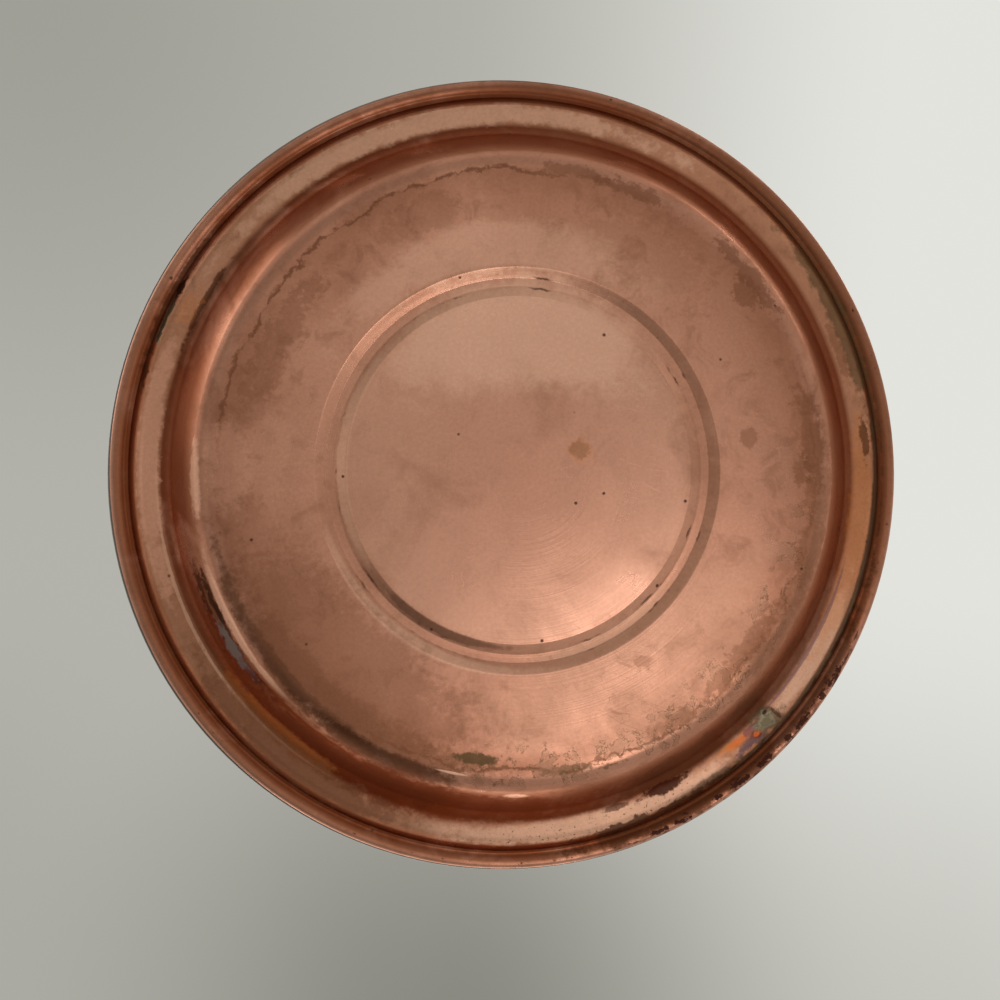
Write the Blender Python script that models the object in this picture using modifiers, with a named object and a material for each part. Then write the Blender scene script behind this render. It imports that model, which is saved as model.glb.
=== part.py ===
"""Whistling stovetop kettle, modelled as separate pieces at their real size.

Metres, +Z up. The origin is the centre of the flat base, and the spout points along +X.
Everything above the body lies in the XZ plane, so most outlines are drawn there.
"""

import math

import bmesh
import bpy
from mathutils import Matrix, Vector

MM = 0.001
DEG = math.radians(1)

# Fits and fineness
GAP = 0.3 * MM                  # between pieces that touch
RUNNING_GAP = 0.35 * MM         # around a wire or pin that turns
BODY_STEPS = 40
SMALL_STEPS = 16
ARC_STEP = 30 * DEG
WELD = 0.001 * MM

# Copper base, from the lip inwards and from the flat upwards
LIP_RADIUS = 101.6 * MM
LIP_WIDTH = 4.2 * MM
LIP_DROP = 1.0 * MM
LIP_ROUND = 1.2 * MM
LIP_HEIGHT = 3.4 * MM
VALLEY_WIDTH = 3.0 * MM
VALLEY_RISE = 4.0 * MM
SHOULDER_WIDTH = 7.6 * MM
SHOULDER_RISE = 1.0 * MM
SHOULDER_ROUND = 4.0 * MM
WALL_RUN = 9.3 * MM
WALL_RISE = 14.6 * MM
WALL_TOP_ROUND = 1.6 * MM
CORNER_ROUND = 5.5 * MM
GROOVE_RADIUS = 46.2 * MM       # middle of the pressed ring
GROOVE_WIDTH = 7.2 * MM
GROOVE_FLOOR = 2.0 * MM
GROOVE_DEPTH = 1.0 * MM
COPPER_WALL = 0.6 * MM
PAN_WALL = 0.8 * MM
PAN_LAP = 5.0 * MM              # how far the pan's rim stands up inside the dome

# Steel dome
DOME_WALL = 0.8 * MM
DOME_RISE = 89.0 * MM
DOME_POWER = 2.2                # 2 is an ellipse, more is squarer at the shoulder
DOME_RINGS = 9
DOME_FOOT = 3.5 * MM            # straight wall below the curve
SEAM_OVERHANG = 1.0 * MM
SEAM_THICKNESS = 0.8 * MM

# Spout
SPOUT_TILT = 40 * DEG           # above level
SPOUT_DROP = 23.8 * MM          # from the dome's top to where the spout's axis leaves it
SPOUT_LENGTH = 23.0 * MM        # along the axis, from the dome to the mouth
SPOUT_ROOT = 18.0 * MM          # along the axis, inside the dome before it is trimmed
MOUTH_RADIUS = 20.4 * MM
SPOUT_FLARE = 3.6 * MM
SPOUT_RINGS = 5
SPOUT_WALL = 0.9 * MM
RIM_ROLL = 1.5 * MM
RIM_HEIGHT = 1.8 * MM
RIM_CHAMFER = 0.5 * MM
RIM_BLEND = 0.8 * MM            # below the rim, back to the spout's side

# Cap, measured in the spout's frame from the mouth plane
CAP_OVERHANG = 0.4 * MM
CAP_WALL = 1.1 * MM
CAP_EDGE = 1.5 * MM
CAP_SLOPE_WIDTH = 9.6 * MM
CAP_SLOPE_RISE = 4.6 * MM
CAP_CROWN_RISE = 0.9 * MM
CAP_HOLE = 4.0 * MM
WHISTLE_HOLE = 1.4 * MM
WHISTLE_PLATE = 0.8 * MM
WHISTLE_PLUG_DEPTH = 3.0 * MM
PLUG_CLEARANCE = 1.6 * MM
UPPER_PLATE_INSET = 1.0 * MM

# Cap hinge and strap
HINGE_RISE = 7.4 * MM           # above the rim, square to the spout's axis
HINGE_AHEAD = 1.0 * MM          # beyond the mouth plane
HINGE_PIN = 1.5 * MM
HINGE_EYE = 4.0 * MM
PIN_HEAD = 2.8 * MM
PIN_HEAD_THICKNESS = 0.8 * MM
EAR_SPACING = 12.0 * MM
EAR_THICKNESS = 1.6 * MM
SADDLE_LENGTH = 11.0 * MM
SADDLE_BACK = 4.0 * MM          # from the mouth plane to the saddle's front
SADDLE_THICKNESS = 2.2 * MM
SADDLE_SINK = 6.0 * MM          # drawn this far into the spout, then trimmed to it
SADDLE_TOE = 2.0 * MM           # round at the two lower corners of each ear
JOIN_STEP = 0.1 * MM            # keeps two joined faces out of one plane
STRAP_WIDTH = 11.0 * MM
STRAP_THICKNESS = 2.0 * MM
STRAP_REACH = 6.5 * MM          # from the spout's axis to the strap's end
STRAP_BEND_OUT = 3.5 * MM       # from the cap's slope to the bend towards the hinge
STRAP_BEND_DROP = 0.5 * MM
HORN_THICKNESS = 3.0 * MM
HORN_EYE = 3.2 * MM
HORN_ROOT = 3.0 * MM
SPRING_SPACE = 3.9 * MM         # left between the strap's eye and one ear
RIVET_SPACING = 5.8 * MM
RIVET_REACH = 14.2 * MM         # from the spout's axis to the rivets
RIVET_SHANK = 1.2 * MM
RIVET_HEAD = 2.1 * MM
RIVET_HEAD_THICKNESS = 0.9 * MM
RIVET_CROWN = 1.2 * MM          # radius of the flat on the head
RIVET_EDGE = 0.3 * MM
RIVET_TAIL = 1.8 * MM
RIVET_TAIL_GAP = 0.65 * MM      # the cap curves away under the tail

# Cap spring
SPRING_WIRE = 0.7 * MM
SPRING_COIL = 2.9 * MM          # radius to the wire's middle
SPRING_TURNS = 2
SPRING_STEPS = 10               # points in a turn
SPRING_PITCH = 1.15 * MM
SPRING_BACK_LEG = 13.0 * MM
SPRING_FRONT_LEG = 9.5 * MM
SPRING_LOOK_PAST = 8            # half wire widths that count as the same stretch

# Linkage: both levers swing evenly either side of upright
CAP_OPENING = 30 * DEG
TRIGGER_SWING = 15 * DEG
HORN_LENGTH = 10.0 * MM
TRIGGER_ARM = 20.0 * MM
TRIGGER_X = 24.0 * MM
WIRE = 1.0 * MM
WIRE_OFFSET = 3.0 * MM          # sideways, from the levers to the straight run
WIRE_BEND = 1.6 * MM
WIRE_END = 3.4 * MM
CLIP_RADIUS = 2.6 * MM
CLIP_THICKNESS = 0.8 * MM
PIVOT_PLAY = 0.3 * MM           # half length of the straight part of the horn's slot

# Trigger lever, measured from its pivot
TRIGGER_HUB = 5.5 * MM
TRIGGER_BOSS = 3.9 * MM
TRIGGER_BOSS_WIDTH = 8.2 * MM
TRIGGER_PIN = 1.5 * MM
TRIGGER_PIN_INSET = 1.6 * MM    # from the grip's sides to the pin's ends
TRIGGER_EYE = 3.6 * MM
ARM_THICKNESS = 3.0 * MM
NECK_THICKNESS = 6.0 * MM
BLADE_WIDTH = 12.0 * MM
BLADE_THICKNESS = 3.8 * MM
KNEE_BACK = 16.0 * MM
KNEE_DROP = 11.0 * MM
KNEE_ROUND = 2.8 * MM
BLADE_SPAN = 44.0 * MM
BLADE_SAG = 2.6 * MM
BLADE_BENDS = (0.3, 0.7)        # along the blade

# Handle
GRIP_WIDTH = 22.0 * MM
GRIP_HEIGHT = 17.0 * MM
GRIP_SECTION_POWER = 2.8
GRIP_SECTION_STEPS = 14
GRIP_STEPS = 3                  # points between two control points
GRIP_LEG_STRAIGHT = 15.0 * MM
GRIP_LEG_AHEAD = 4.6 * MM       # ahead of the trigger's pivot
GRIP_LEG_DROP = 12.0 * MM       # below the pivot
GRIP_BEND_BACK = 3.6 * MM
GRIP_BEND_RISE = 5.5 * MM
GRIP_SHOULDER_BACK = 22.0 * MM
GRIP_SHOULDER_RISE = 14.9 * MM
GRIP_CROWN_X = -25.0 * MM
GRIP_CROWN_RISE = 18.5 * MM     # crown's middle above the pivot
GRIP_HIP_X = -56.0 * MM
GRIP_HIP_DROP = 9.3 * MM        # below the crown
GRIP_TURN_X = -74.6 * MM
GRIP_TURN_DROP = 27.7 * MM
GRIP_BACK_X = -87.0 * MM
GRIP_BACK_DROP = 52.7 * MM
TRIGGER_SLOT = 9.4 * MM
SLOT_CLEARANCE = 1.1 * MM
FRONT_SEAT_X = 30.0 * MM
REAR_SEAT_DROP = 27.0 * MM      # from the dome's top to the rear seat
FOOT_LENGTH = 23.0 * MM
FOOT_WIDTH = 19.0 * MM
FOOT_THICKNESS = 2.4 * MM
FOOT_SINK = 5.0 * MM            # drawn this far into the dome, then trimmed to it
TONGUE_THICKNESS = 3.0 * MM
TONGUE_LENGTH = 12.0 * MM
TONGUE_ROOT = 6.5 * MM
TONGUE_TIP = 5.0 * MM

# Handle fasteners
SCREW_HEIGHT = 11.0 * MM        # above the seat
SCREW_SHANK = 2.0 * MM
SCREW_HEAD = 3.6 * MM
SCREW_HEAD_THICKNESS = 2.0 * MM
SCREW_CROWN = 2.5 * MM          # radius of the flat on the head
SCREW_EDGE = 1.0 * MM
SCREW_END = 6.5 * MM
SCREW_SLOT_WIDTH = 1.0 * MM
SCREW_SLOT_DEPTH = 0.9 * MM
RECESS_DEPTH = 3.8 * MM
WASHER_RADIUS = 3.9 * MM
WASHER_THICKNESS = 0.8 * MM
INSERT_RADIUS = 3.2 * MM
INSERT_LENGTH = 7.0 * MM

# Colour, roughness and metallic value of each finish
FINISHES = {
    "copper": ((0.56, 0.27, 0.16), 0.38, 1.0),
    "steel": ((0.62, 0.61, 0.59), 0.22, 1.0),
    "plain_steel": ((0.50, 0.50, 0.49), 0.35, 1.0),
    "spring_steel": ((0.36, 0.36, 0.37), 0.30, 1.0),
    "brass": ((0.72, 0.53, 0.25), 0.30, 1.0),
    "phenolic": ((0.015, 0.015, 0.016), 0.35, 0.0),
}

PARTS = bpy.data.collections.new("whistling_kettle")
CUTTERS = bpy.data.collections.new("cutters")

# A turned piece stands on its own +Z, and this lays it along +Y
ALONG_Y = Matrix.Rotation(-90 * DEG, 4, "X")


def start_scene():
    """Empty the scene and add the two collections."""
    for item in list(bpy.data.objects):
        bpy.data.objects.remove(item, do_unlink=True)
    for collection in (PARTS, CUTTERS):
        bpy.context.scene.collection.children.link(collection)


# Paths in a plane


def rounded(corners):
    """The points along (r, z, fillet) corners, each corner rounded by its fillet."""
    points = []
    last = len(corners) - 1
    for index, (r, z, fillet) in enumerate(corners):
        here = Vector((r, z))
        if index in (0, last) or fillet == 0:
            points.append(here)
            continue
        back = Vector(corners[index - 1][:2]) - here
        ahead = Vector(corners[index + 1][:2]) - here
        room = min(back.length, ahead.length) / 2
        back.normalize()
        ahead.normalize()
        half = back.angle(ahead) / 2
        reach = min(fillet / math.tan(half), room)
        radius = reach * math.tan(half)
        centre = here + (back + ahead).normalized() * radius / math.sin(half)
        spoke = here + back * reach - centre
        turn = math.copysign(math.pi - 2 * half, ahead.cross(back))
        steps = max(1, round(abs(turn) / ARC_STEP))
        for step in range(steps + 1):
            points.append(centre + turned_by(spoke, turn * step / steps))
    return points


def turned_by(vector, angle):
    """A 2D vector turned anticlockwise by an angle."""
    cosine, sine = math.cos(angle), math.sin(angle)
    return Vector((vector.x * cosine - vector.y * sine, vector.x * sine + vector.y * cosine))


def left_of(direction):
    """The unit vector square to a direction, on its left."""
    return Vector((-direction.y, direction.x)).normalized()


def offset(points, distance):
    """The same path moved to its left by a distance, with mitred corners."""
    moved = []
    for index, point in enumerate(points):
        before = left_of(point - points[index - 1]) if index > 0 else None
        after = left_of(points[index + 1] - point) if index + 1 < len(points) else None
        if before is None or after is None:
            normal = before or after
        else:
            normal = (before + after) / (1 + before.dot(after))
        moved.append(point + normal * distance)
    return moved


def smooth_path(controls, steps):
    """A Catmull-Rom curve through the control points, with its first and last stretch straight."""
    points = [controls[0]]
    for a, b, c, d in zip(controls, controls[1:], controls[2:], controls[3:]):
        for step in range(steps):
            t = step / steps
            slope = (c - a) * t + (2 * a - 5 * b + 4 * c - d) * t ** 2 + (3 * b - a - 3 * c + d) * t ** 3
            points.append(b + slope / 2)
    return points + controls[-2:]


def circle(centre, radius, steps=SMALL_STEPS):
    """The corners of a round outline."""
    return [centre + turned_by(Vector((radius, 0)), math.tau * step / steps) for step in range(steps)]


def hull(*rounds):
    """The tight outline around several (centre, radius) rounds, anticlockwise."""
    points = sorted({tuple(point) for centre, radius in rounds for point in circle(centre, radius)})
    halves = []
    for line in (points, points[::-1]):
        half = []
        for point in line:
            while len(half) > 1 and cross(half[-2], half[-1], point) <= 0:
                half.pop()
            half.append(point)
        halves.append(half[:-1])
    return [Vector(point) for point in halves[0] + halves[1]]


def cross(start, middle, end):
    """Positive where the three points turn left."""
    return (Vector(middle) - Vector(start)).cross(Vector(end) - Vector(start))


def strip(points, thickness):
    """The outline of a bent strip along a path."""
    return offset(points, -thickness / 2) + offset(points, thickness / 2)[::-1]


# Objects


def give_finish(item, finish):
    """Give an object a material of its own in one of the finishes."""
    colour, roughness, metallic = FINISHES[finish]
    material = bpy.data.materials.new(f"{item.name}_{finish}")
    material.use_nodes = True
    shader = material.node_tree.nodes["Principled BSDF"]
    shader.inputs["Base Color"].default_value = (*colour, 1.0)
    shader.inputs["Roughness"].default_value = roughness
    shader.inputs["Metallic"].default_value = metallic
    item.data.materials.append(material)


def add_piece(name, data, finish, matrix=None):
    """Add an object, as a piece with a finish or, with no finish, as a cutter."""
    item = bpy.data.objects.new(name, data)
    (PARTS if finish else CUTTERS).objects.link(item)
    if matrix is not None:
        item.matrix_world = matrix
    if finish:
        give_finish(item, finish)
    else:
        item.hide_render = True
        item.display_type = "WIRE"
    return item


def turned(name, profile, finish=None, matrix=None, steps=SMALL_STEPS, ring=False):
    """Turn a profile of (r, z) points around +Z. A ring's profile closes on itself."""
    mesh = bpy.data.meshes.new(name)
    shape = bmesh.new()
    corners = [shape.verts.new((point[0], 0, point[1])) for point in profile]
    for start, end in zip(corners, corners[1:]):
        shape.edges.new((start, end))
    if ring:
        shape.edges.new((corners[-1], corners[0]))
    shape.to_mesh(mesh)
    shape.free()
    item = add_piece(name, mesh, finish, matrix)
    screw = item.modifiers.new("turn", "SCREW")
    screw.axis = "Z"
    screw.angle = math.tau
    screw.steps = steps
    screw.render_steps = steps
    screw.use_merge_vertices = True
    screw.merge_threshold = 0.01 * MM
    screw.use_smooth_shade = True
    return item


def bush(name, outer, inner, low, high, finish, matrix):
    """A round sleeve from low to high along its axis."""
    profile = [(outer, high), (outer, low), (inner, low), (inner, high)]
    return turned(name, profile, finish, matrix, ring=True)


def rod(name, radius, low, high, finish=None, matrix=None):
    """A plain round bar from low to high along its axis."""
    return turned(name, [(0, high), (radius, high), (radius, low), (0, low)], finish, matrix)


def curve_data(name, points, cyclic):
    """A curve with one straight-edged spline."""
    curve = bpy.data.curves.new(name, "CURVE")
    spline = curve.splines.new("POLY")
    spline.points.add(len(points) - 1)
    for target, point in zip(spline.points, points):
        target.co = (*point, 1.0) if len(point) == 3 else (*point, 0.0, 1.0)
    spline.use_cyclic_u = cyclic
    return curve


def as_mesh(item, finish=None):
    """Replace a curve object by its welded mesh."""
    evaluated = item.evaluated_get(bpy.context.evaluated_depsgraph_get())
    mesh = bpy.data.meshes.new_from_object(evaluated)
    mesh.materials.clear()
    shape = bmesh.new()
    shape.from_mesh(mesh)
    bmesh.ops.remove_doubles(shape, verts=shape.verts[:], dist=WELD)
    bmesh.ops.recalc_face_normals(shape, faces=shape.faces[:])
    shape.to_mesh(mesh)
    shape.free()
    name, matrix = item.name, item.matrix_world.copy()
    bpy.data.objects.remove(item, do_unlink=True)
    mesh.name = name
    return add_piece(name, mesh, finish, matrix)


def plate(name, outline, low, high, finish=None):
    """An outline in the XZ plane, given a thickness from low to high along Y."""
    curve = curve_data(name, outline, cyclic=True)
    curve.dimensions = "2D"
    curve.fill_mode = "BOTH"
    curve.extrude = (high - low) / 2
    place = Matrix.Translation((0, (low + high) / 2, 0)) @ Matrix.Rotation(90 * DEG, 4, "X")
    item = add_piece(name, curve, None, place)
    bpy.context.view_layer.update()
    return as_mesh(item, finish)


def tube(name, points, radius, resolution, finish):
    """A round wire along 3D points."""
    curve = curve_data(name, points, cyclic=False)
    curve.dimensions = "3D"
    curve.bevel_depth = radius
    curve.bevel_resolution = resolution
    curve.use_fill_caps = True
    item = add_piece(name, curve, None)
    bpy.context.view_layer.update()
    return as_mesh(item, finish)


def combine(item, tool, operation):
    """Cut a piece with a tool, or join the tool to it."""
    boolean = item.modifiers.new(tool.name, "BOOLEAN")
    boolean.solver = "EXACT"
    boolean.operation = operation
    boolean.object = tool


def cut(item, *tools):
    """Take every tool's shape out of a piece."""
    for tool in tools:
        combine(item, tool, "DIFFERENCE")


def join(item, *tools):
    """Add every tool's shape to a piece."""
    for tool in tools:
        combine(item, tool, "UNION")


# Shapes that several pieces share


def base_path(with_lip):
    """The outside of the base from its centre outwards. The pan has no lip, and stands up instead."""
    valley_r = LIP_RADIUS - LIP_WIDTH
    shoulder_r = valley_r - VALLEY_WIDTH
    wall_top_r = shoulder_r - SHOULDER_WIDTH
    corner_r = wall_top_r - WALL_RUN
    inside = GROOVE_RADIUS - GROOVE_WIDTH / 2
    outside = GROOVE_RADIUS + GROOVE_WIDTH / 2
    valley_z = WALL_RISE + SHOULDER_RISE + VALLEY_RISE
    corners = [
        (0, 0, 0),
        (inside, 0, 0),
        (GROOVE_RADIUS - GROOVE_FLOOR / 2, GROOVE_DEPTH, 0),
        (GROOVE_RADIUS + GROOVE_FLOOR / 2, GROOVE_DEPTH, 0),
        (outside, 0, 0),
        (corner_r, 0, CORNER_ROUND),
        (wall_top_r, WALL_RISE, WALL_TOP_ROUND),
        (shoulder_r, WALL_RISE + SHOULDER_RISE, SHOULDER_ROUND),
        (valley_r, valley_z, 0),
    ]
    if with_lip:
        crest_z = valley_z - LIP_DROP
        corners.append((LIP_RADIUS - LIP_WIDTH / 2, crest_z, 0))
        corners.append((LIP_RADIUS, crest_z, LIP_ROUND))
        corners.append((LIP_RADIUS, crest_z + LIP_HEIGHT, 0))
    else:
        corners.append((valley_r, SEAM_Z + PAN_LAP, 0))
    return rounded(corners)


SEAM_Z = WALL_RISE + SHOULDER_RISE + VALLEY_RISE - LIP_DROP + LIP_HEIGHT + GAP
BODY_RADIUS = LIP_RADIUS - LIP_WIDTH - COPPER_WALL + DOME_WALL
DOME_BASE_Z = SEAM_Z + DOME_FOOT
DOME_TOP_Z = DOME_BASE_Z + DOME_RISE


def dome_z(r):
    """The height of the dome's outside at a radius."""
    return DOME_BASE_Z + DOME_RISE * (1 - (r / BODY_RADIUS) ** 2) ** (1 / DOME_POWER)


def dome_r(z):
    """The radius of the dome's outside at a height."""
    return BODY_RADIUS * (1 - ((z - DOME_BASE_Z) / DOME_RISE) ** DOME_POWER) ** 0.5


def dome_normal(r):
    """The direction out of the dome at a radius, in the plane of a profile."""
    step = 0.1 * MM
    return left_of(Vector((2 * step, dome_z(r + step) - dome_z(r - step))))


def dome_path():
    """The dome's outside from its top down to where the straight foot starts."""
    points = []
    for step in range(DOME_RINGS + 1):
        angle = 90 * DEG * (1 - step / DOME_RINGS)
        rise = DOME_RISE * math.sin(angle) ** (2 / DOME_POWER)
        points.append(Vector((BODY_RADIUS * math.cos(angle), DOME_BASE_Z + rise)))
    points[0].x = 0
    return points


def dome_cutter(name):
    """The space that the dome fills, with the gap that a seated piece keeps to it."""
    outside = offset(dome_path(), GAP)
    outside[0].x = 0
    floor = SEAM_Z + SEAM_THICKNESS
    profile = outside + [Vector((BODY_RADIUS + GAP, floor)), Vector((0, floor))]
    return turned(name, profile, steps=BODY_STEPS)


# Spout frame: +Z leaves the mouth along the spout's axis, and +X points away from the handle
SPOUT_AXIS = Vector((math.cos(SPOUT_TILT), math.sin(SPOUT_TILT)))
SPOUT_UP = left_of(SPOUT_AXIS)
SPOUT_FOOT = Vector((dome_r(DOME_TOP_Z - SPOUT_DROP), DOME_TOP_Z - SPOUT_DROP))
MOUTH = SPOUT_FOOT + SPOUT_AXIS * SPOUT_LENGTH
SPOUT_PLACE = Matrix.Translation((MOUTH.x, 0, MOUTH.y)) @ Matrix.Rotation(90 * DEG - SPOUT_TILT, 4, "Y")
RIM_RADIUS = MOUTH_RADIUS + RIM_ROLL


def at_mouth(ahead, above):
    """A point in the XZ plane, measured from the mouth's centre along and square to the spout."""
    return MOUTH + SPOUT_AXIS * ahead + SPOUT_UP * above


def spout_radius(depth):
    """The spout's outer radius at a depth below the mouth plane."""
    return MOUTH_RADIUS + SPOUT_FLARE * (depth / (SPOUT_LENGTH + SPOUT_ROOT)) ** 1.5


def spout_side(low_depth, high_depth, outwards):
    """Points down the spout's side, moved outwards by a distance."""
    span = high_depth - low_depth
    depths = [low_depth + span * step / SPOUT_RINGS for step in range(SPOUT_RINGS + 1)]
    return [Vector((spout_radius(depth) + outwards, -depth)) for depth in depths]


# Linkage points
HINGE_ABOVE = RIM_RADIUS + HINGE_RISE
HINGE = at_mouth(HINGE_AHEAD, HINGE_ABOVE)
LINK_FRONT = HINGE + turned_by(Vector((0, HORN_LENGTH)), -CAP_OPENING / 2)
LINK_REAR = Vector((TRIGGER_X + TRIGGER_ARM * math.sin(TRIGGER_SWING / 2), LINK_FRONT.y))
PIVOT = Vector((TRIGGER_X, LINK_FRONT.y + TRIGGER_ARM * math.cos(TRIGGER_SWING / 2)))
KNEE = PIVOT - Vector((KNEE_BACK, KNEE_DROP))


def squeezed(point):
    """Where a point of the trigger is when the trigger is squeezed home."""
    return PIVOT + turned_by(point - PIVOT, -TRIGGER_SWING)


# Body


def make_body():
    """The copper skin, the pan inside it and the dome on top."""
    outside = base_path(with_lip=True)
    inside = offset(outside, COPPER_WALL)
    turned("copper_cladding", inside + outside[::-1], "copper", steps=BODY_STEPS)
    seat = base_path(with_lip=False)
    outside = offset(seat, COPPER_WALL + GAP)
    inside = offset(seat, COPPER_WALL + GAP + PAN_WALL)
    turned("bottom_pan", inside + outside[::-1], "steel", steps=BODY_STEPS)

    seam_r = LIP_RADIUS + SEAM_OVERHANG
    outside = dome_path() + [
        Vector((BODY_RADIUS, SEAM_Z + SEAM_THICKNESS)),
        Vector((seam_r, SEAM_Z + SEAM_THICKNESS)),
        Vector((seam_r, SEAM_Z)),
        Vector((BODY_RADIUS - DOME_WALL, SEAM_Z)),
    ]
    inside = offset(dome_path(), -DOME_WALL)
    inside[0].x = 0
    return turned("body_dome", outside + inside[::-1], "steel", steps=BODY_STEPS)


def make_spout(dome):
    """The flared spout with its rolled rim, and the hole under it in the dome."""
    depth = SPOUT_LENGTH + SPOUT_ROOT
    rim = [
        Vector((MOUTH_RADIUS - SPOUT_WALL, 0)),
        Vector((RIM_RADIUS - RIM_CHAMFER, 0)),
        Vector((RIM_RADIUS, -RIM_CHAMFER)),
        Vector((RIM_RADIUS, -RIM_HEIGHT)),
    ]
    outside = spout_side(RIM_HEIGHT + RIM_BLEND, depth, 0)
    inside = spout_side(RIM_HEIGHT + RIM_BLEND, depth, -SPOUT_WALL)
    profile = rim + outside + inside[::-1]
    spout = turned("spout_tube", profile, "steel", SPOUT_PLACE, BODY_STEPS, ring=True)
    cut(spout, dome_cutter("spout_seat_cutter"))
    # The hole starts well below the mouth, clear of everything but the dome
    bore = spout_side(RIM_HEIGHT, depth + SPOUT_ROOT, -SPOUT_WALL)
    profile = [Vector((0, bore[0].y)), *bore, Vector((0, bore[-1].y))]
    cut(dome, turned("spout_hole_cutter", profile, matrix=SPOUT_PLACE, steps=BODY_STEPS))


# Cap


def cap_path():
    """The cap's outside, from the hole in its crown down to its edge."""
    edge_r = RIM_RADIUS + CAP_OVERHANG
    slope_r = edge_r - CAP_SLOPE_WIDTH - CAP_WALL
    top_z = GAP + CAP_EDGE + CAP_SLOPE_RISE
    return [
        Vector((CAP_HOLE, top_z + CAP_CROWN_RISE)),
        Vector((slope_r, top_z)),
        Vector((slope_r + CAP_SLOPE_WIDTH, GAP + CAP_EDGE)),
        Vector((edge_r, GAP + CAP_EDGE)),
        Vector((edge_r, GAP)),
    ]


def height_on(path, r):
    """The height of a path at a radius that it passes."""
    for start, end in zip(path, path[1:]):
        if start.x <= r <= end.x:
            return start.lerp(end, (r - start.x) / (end.x - start.x)).y
    return path[-1].y


def cap_inside():
    """The cap's inside, from its hole to its edge."""
    inside = offset(cap_path()[:4], -CAP_WALL)[:3]
    inside[0].x = CAP_HOLE
    return [*inside, Vector((inside[2].x, GAP))]


def make_cap():
    """The cap and the two whistle plates inside it."""
    inside = cap_inside()
    turned("cap_shell", cap_path() + inside[::-1], "steel", SPOUT_PLACE, BODY_STEPS, ring=True)
    bore_r = MOUTH_RADIUS - SPOUT_WALL
    plug_r = bore_r - PLUG_CLEARANCE
    top = height_on(inside, plug_r) - GAP
    wall = WHISTLE_PLATE
    profile = [
        (plug_r, top),
        (plug_r, -WHISTLE_PLUG_DEPTH),
        (WHISTLE_HOLE, -WHISTLE_PLUG_DEPTH),
        (WHISTLE_HOLE, wall - WHISTLE_PLUG_DEPTH),
        (plug_r - wall, wall - WHISTLE_PLUG_DEPTH),
        (plug_r - wall, top),
    ]
    turned("whistle_inner_plate", profile, "plain_steel", SPOUT_PLACE, BODY_STEPS, ring=True)
    plate_r = cap_path()[1].x - UPPER_PLATE_INSET
    top = height_on(inside, plate_r) - GAP
    bush("whistle_outer_plate", plate_r, WHISTLE_HOLE, top - wall, top, "plain_steel", SPOUT_PLACE)


def make_cap_arm():
    """The riveted strap with the hinge eye and the horn that the wire pulls."""
    path = cap_path()
    lift = GAP + STRAP_THICKNESS / 2
    slope = (path[2] - path[1]).normalized()
    out = left_of(slope)
    # The strap lies along the cap's slope, and bends over its crown and out to the hinge
    high = path[1] + out * lift
    low = path[2] + out * lift
    bend = low + Vector((STRAP_BEND_OUT, -STRAP_BEND_DROP))
    end = Vector((STRAP_REACH, height_on(path, STRAP_REACH) + lift))
    line = [at_mouth(point.y, point.x) for point in (bend, low, high, end)]
    arm = plate("cap_arm", strip(line, STRAP_THICKNESS), -STRAP_WIDTH / 2, STRAP_WIDTH / 2, "steel")
    eye_low = GAP - EAR_SPACING / 2
    eye_high = EAR_SPACING / 2 - SPRING_SPACE
    neck = hull((HINGE, HINGE_EYE), (line[0], STRAP_THICKNESS / 2))
    horn = hull((HINGE, HORN_ROOT), (LINK_FRONT, HORN_EYE))
    join(
        arm,
        plate("cap_arm_neck", neck, eye_low, eye_high),
        plate("cap_arm_horn", horn, -HORN_THICKNESS / 2, HORN_THICKNESS / 2),
    )
    up = (LINK_FRONT - HINGE).normalized()
    # The wire comes nearer the hinge at mid swing, so its hole is a short slot along the horn
    nearest = LINK_FRONT.y - HINGE.y - TRIGGER_ARM * (1 - math.cos(TRIGGER_SWING / 2))
    middle = HINGE + up * (HORN_LENGTH + nearest) / 2
    hole = WIRE + RUNNING_GAP
    slot = hull((middle + up * PIVOT_PLAY, hole), (middle - up * PIVOT_PLAY, hole))
    cut(
        arm,
        cross_cutter("cap_arm_pin_cutter", HINGE, HINGE_PIN + GAP, EAR_SPACING),
        plate("cap_arm_slot_cutter", slot, -EAR_SPACING / 2, EAR_SPACING / 2),
    )
    make_cap_rivets(arm, path, out)


def make_cap_rivets(arm, path, out):
    """Two rivets square to the cap's slope, through the strap and the cap."""
    seat = Vector((RIVET_REACH, height_on(path, RIVET_REACH)))
    lean = math.atan2(out.x, out.y)
    cap = bpy.data.objects["cap_shell"]
    head_z = GAP + STRAP_THICKNESS + GAP
    tail_z = -CAP_WALL - RIVET_TAIL_GAP
    profile = [
        (0, head_z + RIVET_HEAD_THICKNESS),
        (RIVET_CROWN, head_z + RIVET_HEAD_THICKNESS),
        (RIVET_HEAD, head_z + RIVET_EDGE),
        (RIVET_HEAD, head_z),
        (RIVET_SHANK, head_z),
        (RIVET_SHANK, tail_z),
        (RIVET_TAIL, tail_z),
        (RIVET_TAIL, tail_z - RIVET_HEAD_THICKNESS),
        (0, tail_z - RIVET_HEAD_THICKNESS),
    ]
    for side, y in (("left", RIVET_SPACING / 2), ("right", -RIVET_SPACING / 2)):
        # In the spout's frame -X is towards the handle, where the strap is
        local = Matrix.Translation((-seat.x, y, seat.y)) @ Matrix.Rotation(-lean, 4, "Y")
        place = SPOUT_PLACE @ local
        turned(f"cap_rivet_{side}", profile, "plain_steel", place)
        reach = head_z + RIVET_HEAD
        hole = rod(f"cap_rivet_{side}_cutter", RIVET_SHANK + GAP, -reach, reach, matrix=place)
        cut(arm, hole)
        cut(cap, hole)


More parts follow.
